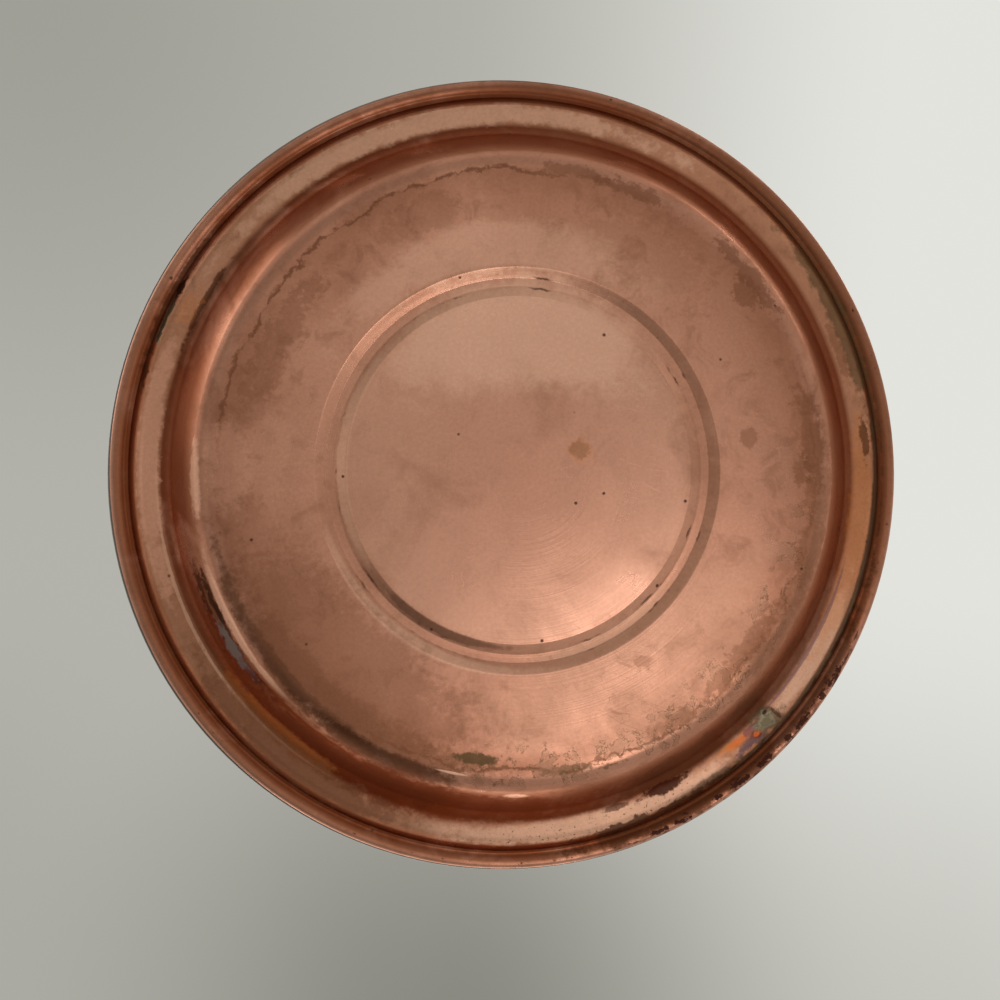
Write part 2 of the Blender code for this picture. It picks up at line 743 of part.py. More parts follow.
def cross_cutter(name, centre, radius, length):
    """A round cutter along Y through a point of the XZ plane."""
    place = Matrix.Translation((centre.x, 0, centre.y)) @ ALONG_Y
    return rod(name, radius, -length, length, matrix=place)


def make_cap_hinge():
    """The saddle with its two ears on the spout, and the headed pin through them."""
    inner = EAR_SPACING / 2
    outer = inner + EAR_THICKNESS
    saddle_top = RIM_RADIUS + SADDLE_THICKNESS
    low = spout_radius(0) - SADDLE_SINK
    block = [
        at_mouth(-SADDLE_BACK, low),
        at_mouth(-SADDLE_BACK, saddle_top),
        at_mouth(-SADDLE_BACK - SADDLE_LENGTH, saddle_top),
        at_mouth(-SADDLE_BACK - SADDLE_LENGTH, low),
    ]
    bracket = plate("spout_hinge_bracket", block, -outer, outer, "steel")
    heel = at_mouth(-SADDLE_BACK - SADDLE_LENGTH + SADDLE_TOE, saddle_top - SADDLE_TOE)
    front = at_mouth(-SADDLE_BACK - SADDLE_TOE, saddle_top - SADDLE_TOE)
    ear = hull((HINGE, HINGE_EYE), (heel, SADDLE_TOE), (front, SADDLE_TOE))
    join(
        bracket,
        plate("left_ear", ear, inner, outer - JOIN_STEP),
        plate("right_ear", ear, JOIN_STEP - outer, -inner),
    )
    side = spout_side(RIM_HEIGHT, SPOUT_LENGTH + SPOUT_ROOT, GAP)
    profile = [Vector((0, side[0].y)), *side, Vector((0, side[-1].y))]
    cut(
        bracket,
        turned("saddle_seat_cutter", profile, matrix=SPOUT_PLACE, steps=BODY_STEPS),
        cross_cutter("ear_hole_cutter", HINGE, HINGE_PIN + GAP, EAR_SPACING),
    )
    end = outer + GAP
    head = end + PIN_HEAD_THICKNESS
    profile = [
        (0, head),
        (PIN_HEAD, head),
        (PIN_HEAD, end),
        (HINGE_PIN, end),
        (HINGE_PIN, -end),
        (PIN_HEAD, -end),
        (PIN_HEAD, -head),
        (0, -head),
    ]
    turned("cap_hinge_pin", profile, "plain_steel", Matrix.Translation((HINGE.x, 0, HINGE.y)) @ ALONG_Y)


def tangent_point(start, side):
    """Where a straight leg from a point meets the spring's coil, on its left (1) or right (-1)."""
    towards = HINGE - start
    angle = math.asin(SPRING_COIL / towards.length)
    length = math.sqrt(towards.length ** 2 - SPRING_COIL ** 2)
    return start + turned_by(towards.normalized(), side * angle) * length


def make_cap_spring():
    """The torsion spring: a leg on the saddle, the coil round the pin and a leg on the strap."""
    rest = SPRING_WIRE / 2 + GAP
    back = at_mouth(HINGE_AHEAD - SPRING_BACK_LEG, RIM_RADIUS + SADDLE_THICKNESS + rest)
    front_above = HINGE_ABOVE - SPRING_FRONT_LEG
    path = cap_path()
    slope = (path[2] - path[1]).normalized()
    strap_top = (GAP + STRAP_THICKNESS + rest) / abs(slope.x)
    front = at_mouth(height_on(path, front_above) + strap_top, front_above)
    first = tangent_point(back, 1)
    last = tangent_point(front, -1)
    start = math.atan2(first.y - HINGE.y, first.x - HINGE.x)
    end = math.atan2(last.y - HINGE.y, last.x - HINGE.x)
    sweep = (start - end) % math.tau + math.tau * SPRING_TURNS
    steps = round(SPRING_STEPS * sweep / math.tau)
    y = EAR_SPACING / 2 - rest
    points = [(back.x, y, back.y)]
    for step in range(steps + 1):
        spot = HINGE + turned_by(Vector((SPRING_COIL, 0)), start - sweep * step / steps)
        points.append((spot.x, y - SPRING_PITCH * sweep / math.tau * step / steps, spot.y))
    points.append((front.x, points[-1][1], front.y))
    gap = least_self_gap([Vector(point) for point in points], SPRING_WIRE)
    print(f"cap_spring least gap to itself: {gap / MM:.2f} mm")
    tube("cap_spring", points, SPRING_WIRE / 2, 1, "spring_steel")


def least_self_gap(points, wire):
    """The least clear distance between stretches of a wire that aren't next to each other."""
    fine = []
    for start, end in zip(points, points[1:]):
        count = max(1, round((end - start).length / (wire / 2)))
        fine += [start.lerp(end, step / count) for step in range(count)]
    return min(
        (one - other).length
        for index, one in enumerate(fine)
        for other in fine[index + SPRING_LOOK_PAST:]
    ) - wire


# Linkage


def make_link():
    """The wire with its two bent ends, and the clips that hold them."""
    corners = [
        (LINK_REAR.x, -WIRE_END, 0),
        (LINK_REAR.x, WIRE_OFFSET, WIRE_BEND),
        (LINK_FRONT.x, WIRE_OFFSET, WIRE_BEND),
        (LINK_FRONT.x, -WIRE_END, 0),
    ]
    points = [(point.x, point.y, LINK_REAR.y) for point in rounded(corners)]
    tube("link_wire", points, WIRE, 2, "spring_steel")
    for name, spot, width in (
        ("link_rear_clip", LINK_REAR, ARM_THICKNESS),
        ("link_front_clip", LINK_FRONT, HORN_THICKNESS),
    ):
        face = -width / 2 - GAP
        place = Matrix.Translation((spot.x, 0, spot.y)) @ ALONG_Y
        bush(name, CLIP_RADIUS, WIRE + GAP, face - CLIP_THICKNESS, face, "spring_steel", place)


def make_trigger():
    """The finger lever with its hub, arm and blade, and the pin that it swings on."""
    arm = hull((PIVOT, TRIGGER_HUB), (LINK_REAR, TRIGGER_EYE))
    lever = plate("trigger_lever", arm, -ARM_THICKNESS / 2, ARM_THICKNESS / 2, "phenolic")
    neck = hull((PIVOT, TRIGGER_HUB - GAP), (KNEE, KNEE_ROUND))
    tip = KNEE - Vector((BLADE_SPAN, 0))
    sag = Vector((0, BLADE_SAG))
    bends = [KNEE.lerp(tip, share) - sag for share in BLADE_BENDS]
    line = smooth_path([KNEE, *bends, tip], GRIP_STEPS)
    cut(lever, cross_cutter("trigger_wire_cutter", LINK_REAR, WIRE + RUNNING_GAP, GRIP_WIDTH))
    join(
        lever,
        plate("trigger_neck", neck, -NECK_THICKNESS / 2, NECK_THICKNESS / 2),
        plate("trigger_blade", strip(line, BLADE_THICKNESS), -BLADE_WIDTH / 2, BLADE_WIDTH / 2),
        cross_cutter("trigger_boss", PIVOT, TRIGGER_BOSS, TRIGGER_BOSS_WIDTH / 2),
    )
    cut(lever, cross_cutter("trigger_pin_cutter", PIVOT, TRIGGER_PIN + GAP, GRIP_WIDTH))
    end = GRIP_WIDTH / 2 - TRIGGER_PIN_INSET
    place = Matrix.Translation((PIVOT.x, 0, PIVOT.y)) @ ALONG_Y
    rod("trigger_pin", TRIGGER_PIN, -end, end, "plain_steel", place)


# Handle


class Seat:
    """Where one leg of the handle stands on the dome, and the way up from there."""

    def __init__(self, name, x):
        self.name = name
        r = abs(x)
        side = math.copysign(1, x)
        normal = dome_normal(r)
        self.point = Vector((x, dome_z(r)))
        self.up = Vector((normal.x * side, normal.y))
        self.along = Vector((self.up.y, -self.up.x))

    def above(self, distance, across=0):
        """A point at a distance out of the dome, and across it."""
        return self.point + self.up * distance + self.along * across

    def tongue(self, clearance=0):
        """The outline of the tongue that goes up into the leg."""
        return hull(
            (self.above(0), TONGUE_ROOT + clearance),
            (self.above(TONGUE_LENGTH), TONGUE_TIP + clearance),
        )


def grip_path(front, rear):
    """The middle line of the handle, from its front leg's foot over the crown to the rear."""
    foot = FOOT_THICKNESS + GAP
    crown_z = PIVOT.y + GRIP_CROWN_RISE
    controls = [
        front.above(foot),
        front.above(GRIP_LEG_STRAIGHT),
        PIVOT + Vector((GRIP_LEG_AHEAD, -GRIP_LEG_DROP)),
        PIVOT + Vector((-GRIP_BEND_BACK, GRIP_BEND_RISE)),
        PIVOT + Vector((-GRIP_SHOULDER_BACK, GRIP_SHOULDER_RISE)),
        Vector((GRIP_CROWN_X, crown_z)),
        Vector((GRIP_HIP_X, crown_z - GRIP_HIP_DROP)),
        Vector((GRIP_TURN_X, crown_z - GRIP_TURN_DROP)),
        Vector((GRIP_BACK_X, crown_z - GRIP_BACK_DROP)),
        rear.above(GRIP_LEG_STRAIGHT),
        rear.above(foot),
    ]
    return smooth_path(controls, GRIP_STEPS)


def grip_section():
    """The handle's rounded section as a curve object, for the sweep."""
    power = 2 / GRIP_SECTION_POWER
    points = []
    for step in range(GRIP_SECTION_STEPS):
        angle = math.tau * (step + 0.5) / GRIP_SECTION_STEPS
        x = math.copysign(abs(math.cos(angle)) ** power, math.cos(angle))
        y = math.copysign(abs(math.sin(angle)) ** power, math.sin(angle))
        points.append((x * GRIP_WIDTH / 2, y * GRIP_HEIGHT / 2))
    curve = curve_data("grip_section", points, cyclic=True)
    curve.dimensions = "2D"
    curve.fill_mode = "NONE"
    return add_piece("grip_section", curve, None)


def make_grip(front, rear):
    """The moulded grip, with its trigger slot, its pin hole and a socket for each tongue."""
    points = [(point.x, 0, point.y) for point in grip_path(front, rear)]
    section = grip_section()
    curve = curve_data("handle_grip", points, cyclic=False)
    curve.dimensions = "3D"
    curve.twist_mode = "MINIMUM"
    curve.bevel_mode = "OBJECT"
    curve.bevel_object = section
    curve.use_fill_caps = True
    sweep = add_piece("handle_grip", curve, None)
    bpy.context.view_layer.update()
    grip = as_mesh(sweep, "phenolic")
    bpy.data.objects.remove(section, do_unlink=True)

    room = TRIGGER_EYE + SLOT_CLEARANCE
    fan = hull(
        (PIVOT, TRIGGER_HUB + SLOT_CLEARANCE),
        (KNEE, KNEE_ROUND + SLOT_CLEARANCE),
        (squeezed(KNEE), KNEE_ROUND + SLOT_CLEARANCE),
        (LINK_REAR, room),
        (squeezed(LINK_REAR), room),
    )
    way = CLIP_RADIUS + SLOT_CLEARANCE
    passage = hull((LINK_REAR, way), (LINK_FRONT, way))
    half = TRIGGER_SLOT / 2
    side = WIRE_OFFSET + WIRE + GAP
    cut(
        grip,
        plate("trigger_slot_cutter", fan, -half, half),
        plate("wire_passage_cutter", passage, -side, side),
        cross_cutter("grip_pin_cutter", PIVOT, TRIGGER_PIN + GAP, GRIP_WIDTH),
    )
    return grip


def make_bracket(seat):
    """A saddle on the dome with the tongue that carries one leg of the handle."""
    half = FOOT_LENGTH / 2
    block = [
        seat.above(-FOOT_SINK, -half),
        seat.above(-FOOT_SINK, half),
        seat.above(FOOT_THICKNESS, half),
        seat.above(FOOT_THICKNESS, -half),
    ]
    bracket = plate(f"{seat.name}_bracket", block, -FOOT_WIDTH / 2, FOOT_WIDTH / 2, "steel")
    join(
        bracket,
        plate(f"{seat.name}_tongue", seat.tongue(), -TONGUE_THICKNESS / 2, TONGUE_THICKNESS / 2),
    )
    cut(
        bracket,
        dome_cutter(f"{seat.name}_seat_cutter"),
        cross_cutter(f"{seat.name}_hole_cutter", seat.above(SCREW_HEIGHT), SCREW_SHANK + GAP, GRIP_WIDTH),
    )


def make_leg_fasteners(seat, grip):
    """The screw, washer and insert of one leg, and the holes that they need in the grip."""
    name = seat.name
    spot = seat.above(SCREW_HEIGHT)
    turn = Matrix.Rotation(math.atan2(seat.up.x, seat.up.y), 4, "Y")
    place = Matrix.Translation((spot.x, 0, spot.y)) @ turn @ ALONG_Y
    floor = GRIP_WIDTH / 2 - RECESS_DEPTH
    washer_top = floor + GAP + WASHER_THICKNESS
    head_low = washer_top + GAP
    head_top = head_low + SCREW_HEAD_THICKNESS
    outside = GRIP_WIDTH
    socket = TONGUE_THICKNESS / 2 + GAP
    hole = SCREW_SHANK + GAP
    # One stepped cutter: the head's recess, the screw's hole, and the insert's from the socket on
    bore = [
        (0, outside),
        (WASHER_RADIUS + GAP, outside),
        (WASHER_RADIUS + GAP, floor),
        (hole, floor),
        (hole, 0),
        (INSERT_RADIUS + GAP, 0),
        (INSERT_RADIUS + GAP, -outside),
        (0, -outside),
    ]
    cut(
        grip,
        plate(f"{name}_socket_cutter", seat.tongue(GAP), -socket, socket),
        turned(f"{name}_bore_cutter", bore, matrix=place),
    )
    profile = [
        (0, head_top),
        (SCREW_CROWN, head_top),
        (SCREW_HEAD, head_low + SCREW_EDGE),
        (SCREW_HEAD, head_low),
        (SCREW_SHANK, head_low),
        (SCREW_SHANK, -SCREW_END),
        (0, -SCREW_END),
    ]
    screw = turned(f"{name}_screw", profile, "plain_steel", place)
    half = SCREW_SLOT_WIDTH / 2
    slot = [
        Vector((spot.x - outside, spot.y - half)),
        Vector((spot.x + outside, spot.y - half)),
        Vector((spot.x + outside, spot.y + half)),
        Vector((spot.x - outside, spot.y + half)),
    ]
    cut(screw, plate(f"{name}_screw_slot_cutter", slot, head_top - SCREW_SLOT_DEPTH, outside))
    bush(f"{name}_washer", WASHER_RADIUS, hole, floor + GAP, washer_top, "plain_steel", place)
    bush(f"{name}_insert", INSERT_RADIUS, hole, -socket - INSERT_LENGTH, -socket, "brass", place)


def make_handle():
    """The grip, its two brackets and what fastens it to them."""
    front = Seat("front", FRONT_SEAT_X)
    rear = Seat("rear", -dome_r(DOME_TOP_Z - REAR_SEAT_DROP))
    grip = make_grip(front, rear)
    for seat in (front, rear):
        make_bracket(seat)
        make_leg_fasteners(seat, grip)


def main():
    """Build the kettle from the base up."""
    start_scene()
    make_spout(make_body())
    make_cap()
    make_cap_arm()
    make_cap_hinge()
    make_cap_spring()
    make_link()
    make_trigger()
    make_handle()
    for point, name in ((HINGE, "cap hinge"), (PIVOT, "trigger pivot"), (LINK_REAR, "wire's rear end")):
        print(f"{name}: x {point.x / MM:.3f} mm, z {point.y / MM:.3f} mm")


main()
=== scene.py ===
"""Whistling kettle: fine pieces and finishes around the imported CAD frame.

Sizes are in millimetres in the classes, and each mesh is turned into metres when it is
finished. The base stands on z = 0 and the spout points along +X. The main camera looks up at
the copper base from below, so +Y points down in that picture.
"""

import logging
import math
from collections.abc import Callable, Iterable, Sequence
from dataclasses import dataclass
from enum import Enum

import bmesh
import bpy
from mathutils import Matrix, Vector


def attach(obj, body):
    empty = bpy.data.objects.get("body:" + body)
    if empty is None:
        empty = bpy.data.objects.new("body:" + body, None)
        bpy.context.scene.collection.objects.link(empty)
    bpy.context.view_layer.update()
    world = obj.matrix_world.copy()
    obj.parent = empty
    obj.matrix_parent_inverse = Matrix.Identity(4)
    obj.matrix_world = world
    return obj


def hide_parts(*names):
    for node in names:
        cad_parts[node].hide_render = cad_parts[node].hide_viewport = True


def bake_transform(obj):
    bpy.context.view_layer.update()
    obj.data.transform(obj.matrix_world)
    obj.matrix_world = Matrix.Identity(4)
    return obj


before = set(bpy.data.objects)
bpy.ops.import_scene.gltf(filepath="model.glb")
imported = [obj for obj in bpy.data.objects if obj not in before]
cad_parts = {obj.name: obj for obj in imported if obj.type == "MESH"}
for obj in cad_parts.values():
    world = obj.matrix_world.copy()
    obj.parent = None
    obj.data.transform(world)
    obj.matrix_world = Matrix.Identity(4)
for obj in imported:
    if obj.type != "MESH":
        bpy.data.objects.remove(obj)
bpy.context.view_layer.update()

log = logging.getLogger("kettle")

Point = tuple[float, float]
Triple = tuple[float, float, float]
BMVert, BMEdge = bmesh.types.BMVert, bmesh.types.BMEdge

MM = 0.001
TURN = math.tau
FINE = 160          # steps round the body
MEDIUM = 96         # steps round the spout and cap
SMALL = 40          # steps round pins, screws and washers
ARC = math.radians(9)
MERGE = 1e-4        # corners closer than this become one
THROUGH = 20        # reach of a cutter that goes right through
WIDE_STEP = TURN / 12
GAP = 0.3           # clearance between neighbours
MIX_FIRST, MIX_SECOND, MIX_RESULT = 6, 7, 2     # the colour sockets of a Mix node

# The linkage's pivots in the XZ plane, the trigger's travel, and the slope of the cap's crown as (r, z)
PIVOT = Vector((24.0, 158.3597))
WIRE_REAR = Vector((26.6105, 138.5313))
WIRE_FRONT = Vector((70.8565, 138.5313))
HINGE = Vector((68.2683, 128.8721))
PIN_HOLE = 1.8
SQUEEZE = math.radians(15)
CROWN = Vector((11.6, 6.4))
BRIM = Vector((21.2, 1.8))


class Body(Enum):
    """The CAD bodies that pieces ride on."""

    KETTLE = "kettle"
    TRIGGER = "trigger"
    LINK = "link"
    CAP = "cap"


class Slot(Enum):
    """The record's material slots."""

    COPPER = "copper"
    STEEL = "steel"
    PLAIN_STEEL = "plain_steel"
    SPRING_STEEL = "spring_steel"
    BRASS = "brass"
    PHENOLIC = "phenolic"


class Operation(Enum):
    """Ways to combine two solids."""

    CUT = "DIFFERENCE"
    JOIN = "UNION"


# Outlines in a plane, in millimetres


def turned_by(vector: Vector, angle: float) -> Vector:
    """Turn a 2D vector anticlockwise."""
    cosine, sine = math.cos(angle), math.sin(angle)
    return Vector((vector.x * cosine - vector.y * sine, vector.x * sine + vector.y * cosine))


def left_of(direction: Vector) -> Vector:
    """Give the unit vector on the left of a 2D direction."""
    return Vector((-direction.y, direction.x)).normalized()


def rounded(corners: Sequence[Triple], step: float = ARC) -> list[Vector]:
    """Follow corners with a fillet at each.

    Args:
        corners: Each corner as (x, y, fillet radius). The two ends stay sharp.
        step: The largest turn between two points of a fillet.

    Returns:
        The points along the rounded path.
    """
    points: list[Vector] = []
    for index, (x, y, fillet) in enumerate(corners):
        here = Vector((x, y))
        if index in (0, len(corners) - 1) or fillet == 0:
            points.append(here)
            continue
        back, ahead = (Vector(corners[index + side][:2]) - here for side in (-1, 1))
        room = min(back.length, ahead.length) * 0.49
        back.normalize()
        ahead.normalize()
        half = back.angle(ahead) / 2
        reach = min(fillet / math.tan(half), room)
        centre = here + (back + ahead).normalized() * reach / math.cos(half)
        spoke = here + back * reach - centre
        turn = math.copysign(math.pi - 2 * half, ahead.cross(back))
        count = max(2, math.ceil(abs(turn) / step))
        points += [centre + turned_by(spoke, turn * k / count) for k in range(count + 1)]
    return points


def ring_of(corners: Sequence[Triple], step: float = ARC) -> list[Vector]:
    """Follow a closed loop of corners, each with its fillet, as rounded does."""
    looped = [corners[-1], *corners, corners[0]]
    return [point for three in zip(looped, looped[1:], looped[2:]) for point in rounded(three, step)[1:-1]]


def offset(points: Sequence[Vector], distance: float) -> list[Vector]:
    """Move a path to its left, with mitred corners.

    Args:
        points: The path.
        distance: How far, negative for the right.

    Returns:
        The moved path.
    """
    normals = [left_of(end - start) for start, end in zip(points, points[1:])]
    mitres = [(one + other) / (1 + one.dot(other)) for one, other in zip(normals, normals[1:])]
    shifts = [normals[0], *mitres, normals[-1]]
    return [point + shift * distance for point, shift in zip(points, shifts)]


def smooth(controls: Sequence[Vector], steps: int) -> list[Vector]:
    """Run a Catmull-Rom curve through control points, with straight first and last stretches.

    Args:
        controls: The points to pass through.
        steps: Points between two controls.

    Returns:
        The points along the curve.
    """
    points = [controls[0]]
    for a, b, c, d in zip(controls, controls[1:], controls[2:], controls[3:]):
        for t in (step / steps for step in range(steps)):
            slope = (c - a) * t + (2 * a - 5 * b + 4 * c - d) * t ** 2
            points.append(b + (slope + (3 * b - a - 3 * c + d) * t ** 3) / 2)
    return points + list(controls[-2:])


def relaxed(points: Sequence[Vector], kept: int, rounds: int) -> list[Vector]:
    """Even out the bends of a path without shrinking it.

    Args:
        points: The path.
        kept: How many points at each end stay where they are.
        rounds: How often the bends are evened out.

    Returns:
        The smoother path.
    """
    line = list(points)
    for share in (0.5, -0.505) * rounds:
        middles = [(before + after) / 2 for before, after in zip(line, line[2:])]
        for index in range(kept, len(line) - kept):
            line[index] = line[index].lerp(middles[index - 1], share)
    return line


def circle(centre: Vector, radius: float, steps: int = SMALL) -> list[Vector]:
    """Give the points of a round outline."""
    return [centre + turned_by(Vector((radius, 0)), TURN * k / steps) for k in range(steps)]


def hull(*rounds: tuple[Vector, float]) -> list[Vector]:
    """Draw the tight outline around several rounds.

    Args:
        rounds: Each round as (centre, radius).

    Returns:
        The outline, anticlockwise.
    """
    points = sorted({tuple(point) for centre, radius in rounds for point in circle(centre, radius)})
    outline: list[Vector] = []
    for line in (points, points[::-1]):
        half: list[Vector] = []
        for point in map(Vector, line):
            while len(half) > 1 and (half[-1] - half[-2]).cross(point - half[-2]) <= 1e-9:
                half.pop()
            half.append(point)
        outline += half[:-1]
    return outline


def strip(points: Sequence[Vector], thickness: float) -> list[Vector]:
    """Give the outline of a bent strip along a path."""
    return offset(points, -thickness / 2) + offset(points, thickness / 2)[::-1]


# Solids


def in_scene(name: str, data: bpy.types.ID) -> bpy.types.Object:
    """Put a mesh, lamp or camera into the scene as an object.

    Args:
        name: The object's name.
        data: The mesh, lamp or camera.

    Returns:
        The object.
    """
    item = bpy.data.objects.new(name, data)
    bpy.context.scene.collection.objects.link(item)
    return item


class Form:
    """A closed solid in millimetres, shaped with bmesh operators."""

    def __init__(self) -> None:
        """Start with nothing in the mesh."""
        self.mesh = bmesh.new()

    def chain(self, points: Iterable[Sequence[float]], closed: bool = True) -> list[BMEdge]:
        """Add a line of edges.

        Args:
            points: The corners in 3D.
            closed: Whether the last corner joins the first.

        Returns:
            The new edges.
        """
        corners = [self.mesh.verts.new(point) for point in points]
        follows = corners[1:] + corners[:1] if closed else corners[1:]
        return [self.mesh.edges.new(pair) for pair in zip(corners, follows)]

    @classmethod
    def spun(cls, profile: Sequence[Sequence[float]], steps: int = SMALL, ring: bool = False) -> "Form":
        """Turn an (r, z) profile about +Z.

        Args:
            profile: The points, from axis to axis or, for a ring, all round its section.
            steps: Steps in the full turn.
            ring: Whether the profile closes on itself.

        Returns:
            The turned solid.
        """
        form = cls()
        edges = form.chain([(point[0], 0, point[1]) for point in profile], ring)
        bmesh.ops.spin(
            form.mesh, geom=form.mesh.verts[:] + edges, cent=(0, 0, 0), axis=(0, 0, 1),
            dvec=(0, 0, 0), angle=TURN, steps=steps, use_merge=True, use_duplicate=False,
        )
        return form.cleaned()

    @classmethod
    def plate(cls, outline: Sequence[Vector], low: float, high: float) -> "Form":
        """Thicken an outline in the XZ plane along Y.

        Args:
            outline: The outline's points.
            low: Y of the near face.
            high: Y of the far face.

        Returns:
            The plate.
        """
        form = cls()
        edges = form.chain(in_plane(point, low) for point in outline)
        bmesh.ops.contextual_create(form.mesh, geom=edges)
        made = bmesh.ops.extrude_face_region(form.mesh, geom=form.mesh.faces[:])["geom"]
        moved = [item for item in made if isinstance(item, BMVert)]
        bmesh.ops.translate(form.mesh, vec=(0, high - low, 0), verts=moved)
        return form.cleaned()

    @classmethod
    def lofted(cls, section: Sequence[Vector], stations: Sequence[Matrix]) -> "Form":
        """Carry a section through a row of places.

        Args:
            section: The section's outline in its own XY plane.
            stations: Where the section lies at each step, first to last.

        Returns:
            The closed solid.
        """
        form = cls()
        ring = form.chain(point.to_3d() for point in section)
        bmesh.ops.transform(form.mesh, matrix=stations[0], verts=form.mesh.verts[:])
        start = list(ring)
        for last, station in zip(stations, stations[1:]):
            made = bmesh.ops.extrude_edge_only(form.mesh, edges=ring)["geom"]
            fresh = {item for item in made if isinstance(item, BMVert)}
            ring = [item for item in made if isinstance(item, BMEdge) and fresh.issuperset(item.verts)]
            bmesh.ops.transform(form.mesh, matrix=station @ last.inverted(), verts=list(fresh))
        for end in (start, ring):
            bmesh.ops.contextual_create(form.mesh, geom=end)
        return form.cleaned()

    @classmethod
    def tube(cls, points: Sequence[Vector], radius: float, steps: int) -> "Form":
        """Run a round wire along 3D points, with its ends rounded over.

        Args:
            points: The wire's middle line.
            radius: The wire's radius.
            steps: Steps round the wire.

        Returns:
            The wire.
        """
        stations = along(points)
        ends = []
        for station, side in ((stations[0], -1), (stations[-1], 1)):
            caps = []
            for angle in (math.radians(40), math.radians(75)):
                shift = Matrix.Translation((0, 0, side * radius * 0.5 * math.sin(angle)))
                caps.append(station @ shift @ Matrix.Diagonal((*[math.cos(angle) ** 0.5] * 2, 1, 1)))
            ends.append(caps)
        return cls.lofted(circle(Vector((0, 0)), radius, steps), [*ends[0][::-1], *stations, *ends[1]])

    def merged(self) -> "Form":
        """Merge corners that lie on each other."""
        bmesh.ops.remove_doubles(self.mesh, verts=self.mesh.verts[:], dist=MERGE)
        return self

    def cleaned(self) -> "Form":
        """Merge doubles and point the faces outwards."""
        bmesh.ops.recalc_face_normals(self.merged().mesh, faces=self.mesh.faces[:])
        return self

    def placed(self, matrix: Matrix) -> "Form":
        """Move the solid by a matrix in millimetres."""
        bmesh.ops.transform(self.mesh, matrix=matrix, verts=self.mesh.verts[:])
        return self

    def softened(
        self, width: float, above: float = 50, segments: int = 2,
        where: Callable[[BMEdge], bool] = lambda edge: True,
    ) -> "Form":
        """Round over the sharp edges.

        Args:
            width: How far the rounding reaches from an edge.
            above: The least fold, in degrees, of an edge that is rounded.
            segments: Steps across the rounding.
            where: A test that picks the edges.

        Returns:
            This solid.
        """
        edges = [
            edge for edge in self.mesh.edges
            if len(edge.link_faces) == 2 and edge.calc_face_angle(0) > math.radians(above) and where(edge)
        ]
        bmesh.ops.bevel(
            self.mesh, geom=edges, offset=width, offset_type="OFFSET", segments=segments,
            profile=0.5, affect="EDGES", material=-1, clamp_overlap=True,
        )
        return self

    def object(self, name: str) -> bpy.types.Object:
        """Put the mesh into the scene as an object.

        Args:
            name: The object's name.

        Returns:
            The object.
        """
        mesh = bpy.data.meshes.new(name)
        self.mesh.to_mesh(mesh)
        self.mesh.free()
        return in_scene(name, mesh)

    def combine(self, other: "Form", operation: Operation) -> None:
        """Combine this solid with another, which is used up.

        Args:
            other: The other solid.
            operation: How they are combined.
        """
        items = [self.object("working"), other.object("working")]
        modifier = items[0].modifiers.new("combine", "BOOLEAN")
        modifier.solver, modifier.operation, modifier.object = "EXACT", operation.value, items[1]
        graph = bpy.context.evaluated_depsgraph_get()
        result = bpy.data.meshes.new_from_object(items[0].evaluated_get(graph))
        self.mesh = bmesh.new()
        self.mesh.from_mesh(result)
        meshes = [result, *(item.data for item in items)]
        for item in items:
            bpy.data.objects.remove(item, do_unlink=True)
        for mesh in meshes:
            bpy.data.meshes.remove(mesh)
        self.merged()

    def less(self, *tools: "Form") -> "Form":
        """Cut several solids out of this one.

        Args:
            tools: The solids, which are used up.

        Returns:
            This solid.
        """
        for tool in tools:
            self.combine(tool, Operation.CUT)
        return self

    def plus(self, *tools: "Form") -> "Form":
        """Join several solids to this one.

        Args:
            tools: The solids, which are used up.

        Returns:
            This solid.
        """
        for tool in tools:
            self.combine(tool, Operation.JOIN)
        return self

    def finished(
        self, name: str, finish: "Finish", node: str, body: Body = Body.KETTLE, sharp: float = 35,
        bent: tuple[Body, Vector, Vector] | None = None,
    ) -> None:
        """Turn the solid into a dressed piece of the kettle.

        Args:
            name: The piece's name.
            finish: Its finish.
            node: The CAD node it stands for.
            body: The body it rides on.
            sharp: The fold, in degrees, from which an edge shades sharp.
            bent: If given, the piece is left on no body; the body and the span that it holds are not used.
        """
        bmesh.ops.scale(self.mesh, vec=(MM, MM, MM), verts=self.mesh.verts[:])
        for face in self.mesh.faces:
            face.smooth = True
        piece = self.object(name)
        piece.data.set_sharp_from_angle(angle=math.radians(sharp))
        piece.data.materials.append(finish.material())
        if bent is None:
            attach(piece, body.value)
        else:
            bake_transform(piece)
        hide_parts(node)
        log.info("%s: %d faces, rides on %s", name, len(piece.data.polygons), body.value)


def along(points: Sequence[Vector]) -> list[Matrix]:
    """Stand a frame at each point of a 3D path, with +Z along the path and +Y across the kettle.

    Args:
        points: The path.

    Returns:
        One matrix for each point, turning as little as possible from one to the next.
    """
    line = [points[0], *points, points[-1]]
    tangents = [(after - before).normalized() for before, after in zip(line, line[2:])]
    side = Vector((0, 1, 0)) if abs(tangents[0].y) < 0.9 else Vector((0, 0, 1))
    frames = []
    for point, tangent in zip(points, tangents):
        side = (side - tangent * side.dot(tangent)).normalized()
        basis = Matrix((side.cross(tangent), side, tangent)).transposed().to_4x4()
        frames.append(Matrix.Translation(point) @ basis)
    return frames


def in_plane(point: Vector, y: float = 0) -> Vector:
    """Give the 3D place of a point drawn in the XZ plane."""
    return Vector((point.x, y, point.y))


def across_at(point: Vector) -> Matrix:
    """Lay a turned form along +Y through a point of the XZ plane."""
    return Matrix.Translation(in_plane(point)) @ Matrix.Rotation(-TURN / 4, 4, "X")


